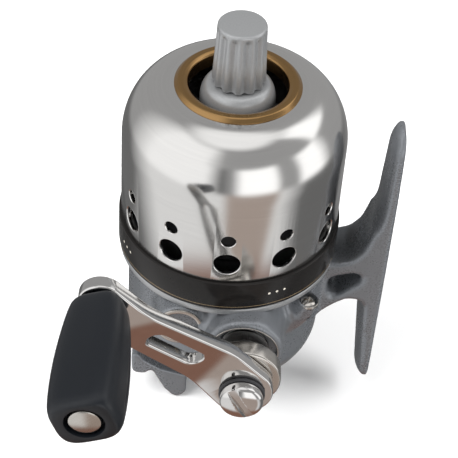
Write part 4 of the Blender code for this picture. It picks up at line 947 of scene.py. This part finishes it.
    def build_lug_screws(self) -> None:
        """Cross-recessed screws in the lugs."""
        for i, turn in enumerate(self.lug_turns):
            head = rounded([(0, -8.85, 0), (0.8, -8.88, 1.0), (1.4, -9.2, 0.3), (1.4, -9.5, 0.1),
                            (0.9, -9.5, 0), (0.9, -12.7, 0.2), (0, -12.7, 0)], 4, closed=False)
            screw = Form.turned(head, 40)
            cross = [Form.block((-0.85, -0.16, -9.35), (0.85, 0.16, -8)),
                     Form.block((-0.16, -0.85, -9.35), (0.16, 0.85, -8))]
            screw = screw.cut(cross[0]).cut(cross[1])
            place = Matrix.Rotation(math.radians(turn), 4, "Z") @ Matrix.Translation((self.lug_circle, 0, 0))
            spun = place @ Matrix.Rotation(0.5, 4, "Z")
            screw.placed(MAIN @ spun).piece(f"lug_screw_{i + 1}", Slot.NICKEL, Rides.REEL,
                                            f"body_screw_{i + 1}")

    def build_bushes(self) -> None:
        """The crank's front bush and the cap over its far end."""
        bush = rounded([(2.42, 15.6, 0), (4.2, 15.6, 0), (4.2, 21.1, 0.15), (2.42, 21.1, 0.15)], 3)
        Form.turned(bush, 72, ring=True).placed(CRANK).piece("front_bush", Slot.STEEL, Rides.REEL,
                                                             "crank_bush")
        low, high = (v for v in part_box("end_cap"))
        back = (Vector(high) / MM).y
        near = (Vector(low) / MM).y
        across = (Vector(high) - Vector(low)).x / MM / 2
        cap = rounded([(0, -near, 0), (across, -near, 0), (across, -back, 0.5), (0, -back, 0)], 5,
                      closed=False)
        Form.turned(cap, 72).placed(CRANK).piece("far_cap", Slot.PLASTIC, Rides.REEL, "end_cap")


@dataclass
class Crank:
    """Hub cup, bent chrome arm, seal, slotted screw and rivet."""

    front: float = 32.45
    thickness: float = 2.7
    length: float = 36.2
    turn: float = math.radians(131.5)
    folds: Point = (8.3, 29.1)
    rise: float = 6.5
    hub_half: float = 5.5
    end_half: float = 3.75
    slot: Point = (11.6, 24.2)
    slot_half: float = 1.75

    def build(self) -> None:
        """Builds every piece that turns with the crank."""
        self.build_arm()
        self.build_hub()
        self.build_screw()
        self.build_rivet()

    def bend(self, along: float) -> float:
        """Outward rise of the arm, with soft folds."""
        low, high = self.folds
        soft = 2.4
        slope = self.rise / (high - low)

        def ramp(x: float) -> float:
            """0 before 0 and x after, with a soft corner."""
            if x <= -soft:
                return 0.0
            return x if x >= soft else (x + soft) ** 2 / (4 * soft)

        return slope * (ramp(along - low) - ramp(along - high))

    def build_arm(self) -> None:
        """The pressed arm with its long slot."""
        outline = [on_circle(self.hub_half, math.radians(angle)) for angle in range(90, 271, 6)]
        outline += [(self.length + x, y) for x, y in
                    (on_circle(self.end_half, math.radians(angle)) for angle in range(-90, 91, 6))]
        middle = sum(self.slot) / 2
        half = (self.slot[1] - self.slot[0]) / 2 - self.slot_half
        slot = [(middle + half + x, y) for x, y in
                (on_circle(self.slot_half, math.radians(angle)) for angle in range(-90, 91, 10))]
        slot += [(middle - half + x, y) for x, y in
                 (on_circle(self.slot_half, math.radians(angle)) for angle in range(90, 271, 10))]
        back = self.front - self.thickness
        arm = Form.plate(outline, back, self.front)
        holes = [Form.plate(slot, back - 1, self.front + 1), Form.rod(2.42, back - 1, self.front + 1),
                 Form.rod(1.42, back - 1, self.front + 1).placed(Matrix.Translation((self.length, 0, 0)))]
        arm = arm.cut(*holes)
        arm.eased_edges(0.4, 4, 60.0)
        arm.sliced((1, 0, 0), [-5.0 + 0.7 * i for i in range(64)])
        arm.reshaped(lambda co: (co.x, co.y, co.z + self.bend(co.x)))
        arm.placed(CRANK @ Matrix.Rotation(self.turn, 4, "Z")).piece("arm", Slot.CHROME, Rides.CRANK,
                                                                     "crank_arm")

    def build_hub(self) -> None:
        """The nickel cup behind the arm and the black ring under the screw."""
        top = self.front - self.thickness - 0.3
        cup = rounded([(2.42, 21.9, 0), (4.6, 21.9, 0.1), (4.6, 25.8, 0.3), (6.35, 25.8, 0.4),
                       (6.85, 26.4, 0.4), (6.85, top, 0.45), (2.42, top, 0)], 4)
        Form.turned(cup, 96, ring=True).placed(CRANK).piece("hub", Slot.NICKEL, Rides.CRANK, "hub_cup")
        low = self.front + 0.3
        seal = rounded([(2.42, low - 0.28, 0), (4.1, low - 0.28, 0.3), (4.1, low + 0.4, 0.3),
                        (2.42, low + 0.4, 0)], 5)
        Form.turned(seal, 80, ring=True).placed(CRANK).piece("seal", Slot.PLASTIC, Rides.CRANK, "crank_seal")

    def build_screw(self) -> None:
        """The domed, slotted crank screw."""
        seat = self.front + 0.85
        dome = squared_arc((3.83, seat + 1.1), (0.0, seat + 2.6), 2.3, 12)[::-1]
        profile = dome + rounded([(3.83, seat, 0.15), (1.2, seat, 0), (1.2, seat - 8.0, 0.3),
                                  (0, seat - 8.0, 0)], 3,
                                 closed=False)
        profile[len(dome)] = (3.83, seat + 0.05)
        screw = Form.turned(profile, 72)
        slot = Form.block((-5,
                           -0.9, seat + 1.6), (5, 0.9, seat + 5)).placed(Matrix.Rotation(math.radians(-60), 4,
                                                                                         "Z"))
        screw = screw.cut(slot)
        screw.eased_edges(0.08, 2, 50.0)
        screw.placed(CRANK).piece("crank_bolt", Slot.CHROME, Rides.CRANK, "crank_screw")

    def build_rivet(self) -> None:
        """The rivet that holds the grip."""
        low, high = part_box("grip_rivet")
        top = -low.y / MM if isinstance(low, Vector) else -low[1] / MM
        tail = -high.y / MM if isinstance(high, Vector) else -high[1] / MM
        head = top - 1.2
        profile = [(0, top), (2.1, top - 0.06), (2.45, top - 0.2), (2.62, top - 0.5), (2.67, top - 0.9),
                   (2.67, head),
                   (1.3, head), (1.3, tail + 0.9), (2.2, tail + 0.9), (1.9, tail + 0.1), (0, tail)]
        Form.turned(profile, 64).placed(GRIP).piece("rivet", Slot.NICKEL, Rides.CRANK, "grip_rivet")


@dataclass
class Grip:
    """Moulded paddle grip with fine grooves down one side."""

    back: float = 39.35
    length: float = 24.4
    broad: float = 5.58
    thin: float = 4.98
    turn: float = math.radians(20.0)
    recess: float = 3.15
    recess_depth: float = 1.7
    grooves: tuple[float, ...] = (-30.0, -20.0, -10.0)

    def build(self) -> None:
        """Builds the grip."""
        swell = [(0.0, 0.60), (0.012, 0.68), (0.05, 0.77), (0.15, 0.85), (0.33, 0.93), (0.55, 0.99),
                 (0.75, 1.0), (0.9, 0.97), (0.96, 0.92), (0.99, 0.85), (1.0, 0.78)]
        side = [(size, share) for share, size in smooth_path(swell, 7)]
        hollow = 1 - self.recess_depth / self.length
        front = [(0.665, 0.996), (0.66, hollow), (0.34, hollow), (0.34, 0.0)]
        form = Form.turned(side + front, 240, ring=True)
        form.reshaped(self.paddle).cleaned()
        place = GRIP @ Matrix.Rotation(self.turn, 4, "Z")
        form.placed(place).piece("grip", Slot.RUBBER, Rides.GRIP, "handle_grip", sharp=50.0)

    def paddle(self, co: Vector) -> Sequence[float]:
        """Turns the unit form into the paddle's section, with its grooves."""
        size = math.hypot(co.x, co.y)
        angle = math.atan2(co.y, co.x)
        height = self.back + self.length * co.z
        if size < 0.345:
            return (*on_circle(1.6, angle), height)
        if size < 0.68 and co.z > 0.9:
            return (*on_circle(self.recess, angle), height)
        broad = math.copysign(abs(math.cos(angle)) ** 0.58, math.cos(angle)) * self.broad * size
        thin = math.copysign(abs(math.sin(angle)) ** 0.58, math.sin(angle)) * self.thin * size
        fade = eased(co.z, 0.12, 0.3) * (1 - eased(co.z, 0.72, 0.9))
        groove = 0.0
        for middle in self.grooves:
            away = math.degrees(angle) - middle
            groove = max(groove, math.exp(-((away / 1.3) ** 2)))
        scale = 1 - 0.045 * groove * fade
        return broad * scale, thin * scale, height


@dataclass
class Nose:
    """Spinner head, its dome and the fluted drag knob."""

    dome: float = 6.6
    dome_straight: float = 25.8
    dome_top: float = 29.1
    dome_flat: float = 4.7
    knob_low: float = 29.4
    knob_high: float = 41.0
    knob_base: float = 4.67
    knob_end: float = 4.2
    flutes: int = 12
    flute_depth: float = 0.55

    def build(self) -> None:
        """Builds the pieces on the nose."""
        self.build_head()
        self.build_dome()
        self.build_knob()

    def build_head(self) -> None:
        """The black spinner head inside the hood."""
        rim, web, top = 3.0, 13.2, 14.7
        profile = rounded([(15.3, rim, 0.2), (16.2, rim, 0.3), (16.2, 12.0, 2.6), (13.4, top, 2.0),
                           (6.9, top, 0.2), (6.9, web, 0), (13.0, web, 1.5), (15.3, 11.6, 1.6)], 5)
        Form.turned(profile, 120, ring=True).placed(MAIN).piece("inner_head", Slot.PLASTIC, Rides.HEAD)

    def build_dome(self) -> None:
        """The silver dome under the knob."""
        low = (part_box("nose_dome")[0][2]) / MM - MAIN.translation.z
        outer = squared_arc((self.dome, self.dome_straight), (self.dome_flat, self.dome_top), 2.0, 14)
        inner = squared_arc((self.dome - 1.0, self.dome_straight),
                            (self.dome_flat - 0.6, self.dome_top - 1.0), 2.0, 8)
        profile = [(self.dome, low), *outer, (3.5, self.dome_top), (3.5, self.dome_top - 1.0), *inner[::-1],
                   (self.dome - 1.0, low)]
        Form.turned(profile, 112, ring=True).placed(MAIN).piece("dome", Slot.KNOB, Rides.HEAD, "nose_dome")

    def build_knob(self) -> None:
        """The fluted knob and its tail."""
        tail_low = (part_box("drag_knob")[0][2]) / MM - MAIN.translation.z
        wall = rounded([(0, self.knob_high, 0), (self.knob_end, self.knob_high, 0.45),
                        (self.knob_end + 0.1, self.knob_high - 2.4, 0), (self.knob_base, self.knob_low, 0.25),
                        (3.1, self.knob_low, 0)], 5, closed=False)
        below = [(3.1, tail_low), (2.12, tail_low), (2.12, tail_low + 5.0), (1.32, tail_low + 5.0),
                 (1.32, 38.3), (0, 38.3)]
        knob = Form.turned(wall + below, 240)
        knob.sliced((0, 0, 1), [self.knob_low + 0.45 + 0.4 * i for i in range(27)])
        knob.reshaped(self.fluted)
        knob.placed(MAIN).piece("knob", Slot.KNOB, Rides.KNOB, "drag_knob", sharp=50.0)

    def fluted(self, co: Vector) -> Sequence[float]:
        """Sinks a round flute between ridges, fading under the flat top."""
        radius = math.hypot(co.x, co.y)
        angle = math.atan2(co.y, co.x)
        hollow = (0.5 - 0.5 * math.cos(self.flutes * angle)) ** 1.3
        fade = (1 - eased(co.z, self.knob_high - 1.7, self.knob_high - 0.5)) if radius > 3.2 else 0.0
        sunk = radius - self.flute_depth * hollow * fade
        return (*on_circle(sunk, angle), co.z)


@dataclass
class Lever:
    """Thumb lever behind the body."""

    def build(self) -> None:
        """Builds the lever with its wide, curved pad."""
        spot = MAIN.inverted() @ joint_spot("thumb_lever")
        px, pz = spot.x, spot.z
        nose = -30.4
        arm = Form.plate(rounded([(px - 1.2, pz - 0.4, 0.8), (px - 2.6, pz - 6.0, 0.5),
                                  (px - 2.2, pz - 8.4, 0),
                                  (px + 0.2, pz - 8.4, 0), (px + 1.0, pz - 2.6, 1.0), (-0.6, nose - 0.9, 0.6),
                                  (-0.6, nose + 0.7, 0.6), (px + 1.0, pz + 1.2, 0.8)], 5), -2.2, 2.2)
        hub = Form.rod(1.6, -2.2, 2.2, 40).placed(Matrix.Translation((px, pz, 0)))
        toe = Form.rod(1.5, -1.76, 1.76, 40).placed(Matrix.Translation((0, nose, 0)))
        outer = [(-17.35, -35.5, 0.4), (-17.2, -40.7, 1.3), (-14.6, -40.7, 0.8), (-13.3, -39.3, 0.4),
                 (-10.6, -45.0, 3.0), (-8.2, -47.6, 1.6), (-6.2, -45.6, 1.8)]
        inner = [(-6.3, -40.6, 1.2), (-11.4, -39.2, 2.0), (-13.6, -37.8, 2.0), (-15.2, -36.6, 1.0),
                 (-15.9, -35.3, 0.4)]
        pad = Form.plate(rounded(outer + inner, 6), -6.6, 6.6)
        lever = arm.joined(hub, toe, pad).cast(0.22, 0.5, 3)
        lever = lever.cut(Form.rod(0.92, -4, 4, 32).placed(Matrix.Translation((px, pz, 0))))
        lever.placed(MAIN @ ACROSS).piece("lever", Slot.CAST, Rides.LEVER, "thumb_lever", sharp=42.0)


@dataclass
class Springs:
    """The two wire springs, each wound to fill the height of the CAD part that it replaces."""

    turns: int = 3
    shaft_coil: Point = (2.4, 0.28)
    shaft_keep: float = 0.3
    drag_coil: Point = (3.0, 0.42)
    drag_keep: float = 0.82

    def build(self) -> None:
        """Builds both springs."""
        self.build_spring("shaft_coil", "shaft_spring", Rides.REEL, self.shaft_coil)
        self.build_spring("drag_coil", "drag_spring", Rides.SHAFT, self.drag_coil)

    def build_spring(self, name: str, node: str, body: Rides, wire: Point) -> None:
        """Builds one spring.

        Args:
            name: the piece's name.
            node: the CAD node that it replaces.
            body: what it rides on.
            wire: the coil's radius and the wire's.
        """
        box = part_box(node)
        low, high = (corner[2] / MM - MAIN.translation.z for corner in box)
        spring = Form.coil(*wire, low, high, self.turns).placed(MAIN).piece(name, Slot.STEEL, body, node)
        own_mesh(spring)


@dataclass
class Studio:
    """Floor, light and camera."""

    target: tuple[float, float, float] = (-0.0299, 0.0, 0.00218)
    azimuth: float = -0.8
    elevation: float = 43.09
    roll: float = 4.19
    distance: float = 0.2776
    lens: float = 116.3

    def build(self) -> None:
        """Builds the surroundings, the lamps and the camera."""
        self.build_floor()
        self.build_surroundings()
        self.build_camera()
        self.add_lamp("key", (-0.45, -0.25, 0.62), 0.5, 7.0)
        self.add_lamp("fill", (0.55, -0.1, 0.5), 0.4, 5.0)

    def build_floor(self) -> None:
        """A plain pale floor under the reel."""
        form = Form()
        bmesh.ops.create_grid(form.bm, x_segments=1, y_segments=1, size=3.0)
        form.placed(Matrix.Translation((0, 0, CAD_BOX[0][2] - 0.0003)))
        floor = raw_object("floor", form)
        material = bpy.data.materials.new("floor_paint")
        material.use_nodes = True
        shop = Shop(material.node_tree)
        speckle = shop.noise(shop.millimetres(), 0.05, 1.0)
        colour = shop.blend(speckle, (0.92, 0.92, 0.92), (0.95, 0.95, 0.95))
        surface = shop.node("ShaderNodeBsdfPrincipled", {}, {"Base Color": colour, "Roughness": 0.9})
        shop.node("ShaderNodeOutputMaterial", {}, {"Surface": surface})
        floor.data.materials.append(material)
        floor.visible_glossy = False

    def build_surroundings(self) -> None:
        """Soft boxes and dark cards round the table, as a sky that the bright metal shows."""
        world = bpy.data.worlds.new("studio")
        world.use_nodes = True
        bpy.context.scene.world = world
        shop = Shop(world.node_tree)
        x, y, z = shop.split(shop.node("ShaderNodeTexCoord", output="Generated"))
        turn = x.angle_to(0.0 - y) / math.tau + 0.5
        soft_box, warm_board, dark, dim = 0.8, (0.42, 0.35, 0.31), 0.15, 0.35
        bright_box, pane = 1.05, 1.3
        table = shop.ramp(turn,
                          ((-180, dark), (-120, dark), (-85, soft_box), (-10, soft_box), (0, warm_board),
                                 (40, warm_board), (50, soft_box), (75, dark), (130, dark), (180, dim)))
        window = shop.ramp(turn, ((-180, dim), (-120, dim), (-85, bright_box), (-25, bright_box), (-10, dark),
                                  (0, dim), (10, pane), (40, pane), (48, dim), (62, dim), (70, pane),
                                  (90, pane), (105, dim), (180, dim)))
        wall = shop.ramp(turn, ((-180, dim), (-120, dim), (-85, bright_box), (-30, bright_box), (-10, dim),
                                (90, dim), (98, pane), (125, pane), (140, dim), (180, dim)))
        under = shop.blend(shop.rise(z, -0.92, -0.82), (0.24, 0.13, 0.095), table)
        around = shop.node("ShaderNodeMix", {"data_type": "RGBA"},
                           {0: shop.rise(z, -0.4, -0.22), 6: under, 7: window}, 2)
        around = shop.node("ShaderNodeMix", {"data_type": "RGBA"},
                           {0: shop.rise(z, 0.36, 0.5), 6: around, 7: wall}, 2)
        overhead = shop.rise(z, 0.82, 0.96)
        sky = shop.blend(overhead, (0.0, 0.0, 0.0), (1.0, 1.0, 1.0))
        whole = shop.node("ShaderNodeMix", {"data_type": "RGBA"}, {0: overhead, 6: around, 7: sky}, 2)
        back = shop.node("ShaderNodeBackground", {}, {"Color": whole, "Strength": 1.0})
        shop.node("ShaderNodeOutputWorld", {}, {"Surface": back})

    def add_lamp(self, name: str, spot: Sequence[float], size: float, power: float) -> None:
        """A soft square lamp that looks at the reel."""
        lamp = bpy.data.lights.new(name, "AREA")
        lamp.size = size
        lamp.energy = power
        obj = bpy.data.objects.new(name, lamp)
        obj.location = spot
        obj.visible_glossy = False
        obj.rotation_euler = (Vector(self.target) - Vector(spot)).to_track_quat("-Z", "Y").to_euler()
        bpy.context.scene.collection.objects.link(obj)

    def build_camera(self) -> None:
        """The camera, above and beside the crank."""
        az, el, roll = (math.radians(angle) for angle in (self.azimuth, self.elevation, self.roll))
        back = Vector((math.sin(az) * math.cos(el), -math.cos(az) * math.cos(el), math.sin(el)))
        right = Vector((0, 0, 1)).cross(back).normalized()
        up = back.cross(right)
        side = right * math.cos(roll) + up * math.sin(roll)
        top = up * math.cos(roll) - right * math.sin(roll)
        place = Matrix((side, top, back)).transposed().to_4x4()
        place.translation = Vector(self.target) + back * self.distance
        camera = bpy.data.cameras.new("camera")
        camera.lens = self.lens
        camera.clip_start = 0.01
        obj = bpy.data.objects.new("camera", camera)
        obj.matrix_world = place
        bpy.context.scene.collection.objects.link(obj)
        bpy.context.scene.camera = obj
        bpy.context.scene.view_settings.view_transform = "Standard"


def dress_inner_parts() -> None:
    """Gives every carried-over part the finish of its slot."""
    slots = {part["node"]: Slot(part["material_slot"]) for part in frame["record"]["subparts"]}
    for name, node in frame["nodes"].items():
        node.data.materials.clear()
        node.data.materials.append(finish_for(slots[name]))
        for face in node.data.polygons:
            face.material_index = 0


def main() -> None:
    """Builds the reel and its studio."""
    logging.basicConfig(level=logging.INFO, format="%(message)s")
    Studio().build()
    dress_inner_parts()
    for assembly in (Cover(), Casting(), Crank(), Grip(), Nose(), Lever(), Springs()):
        assembly.build()
        log.info("%s done", type(assembly).__name__)
    bpy.context.view_layer.update()


if __name__ == "__main__":
    main()
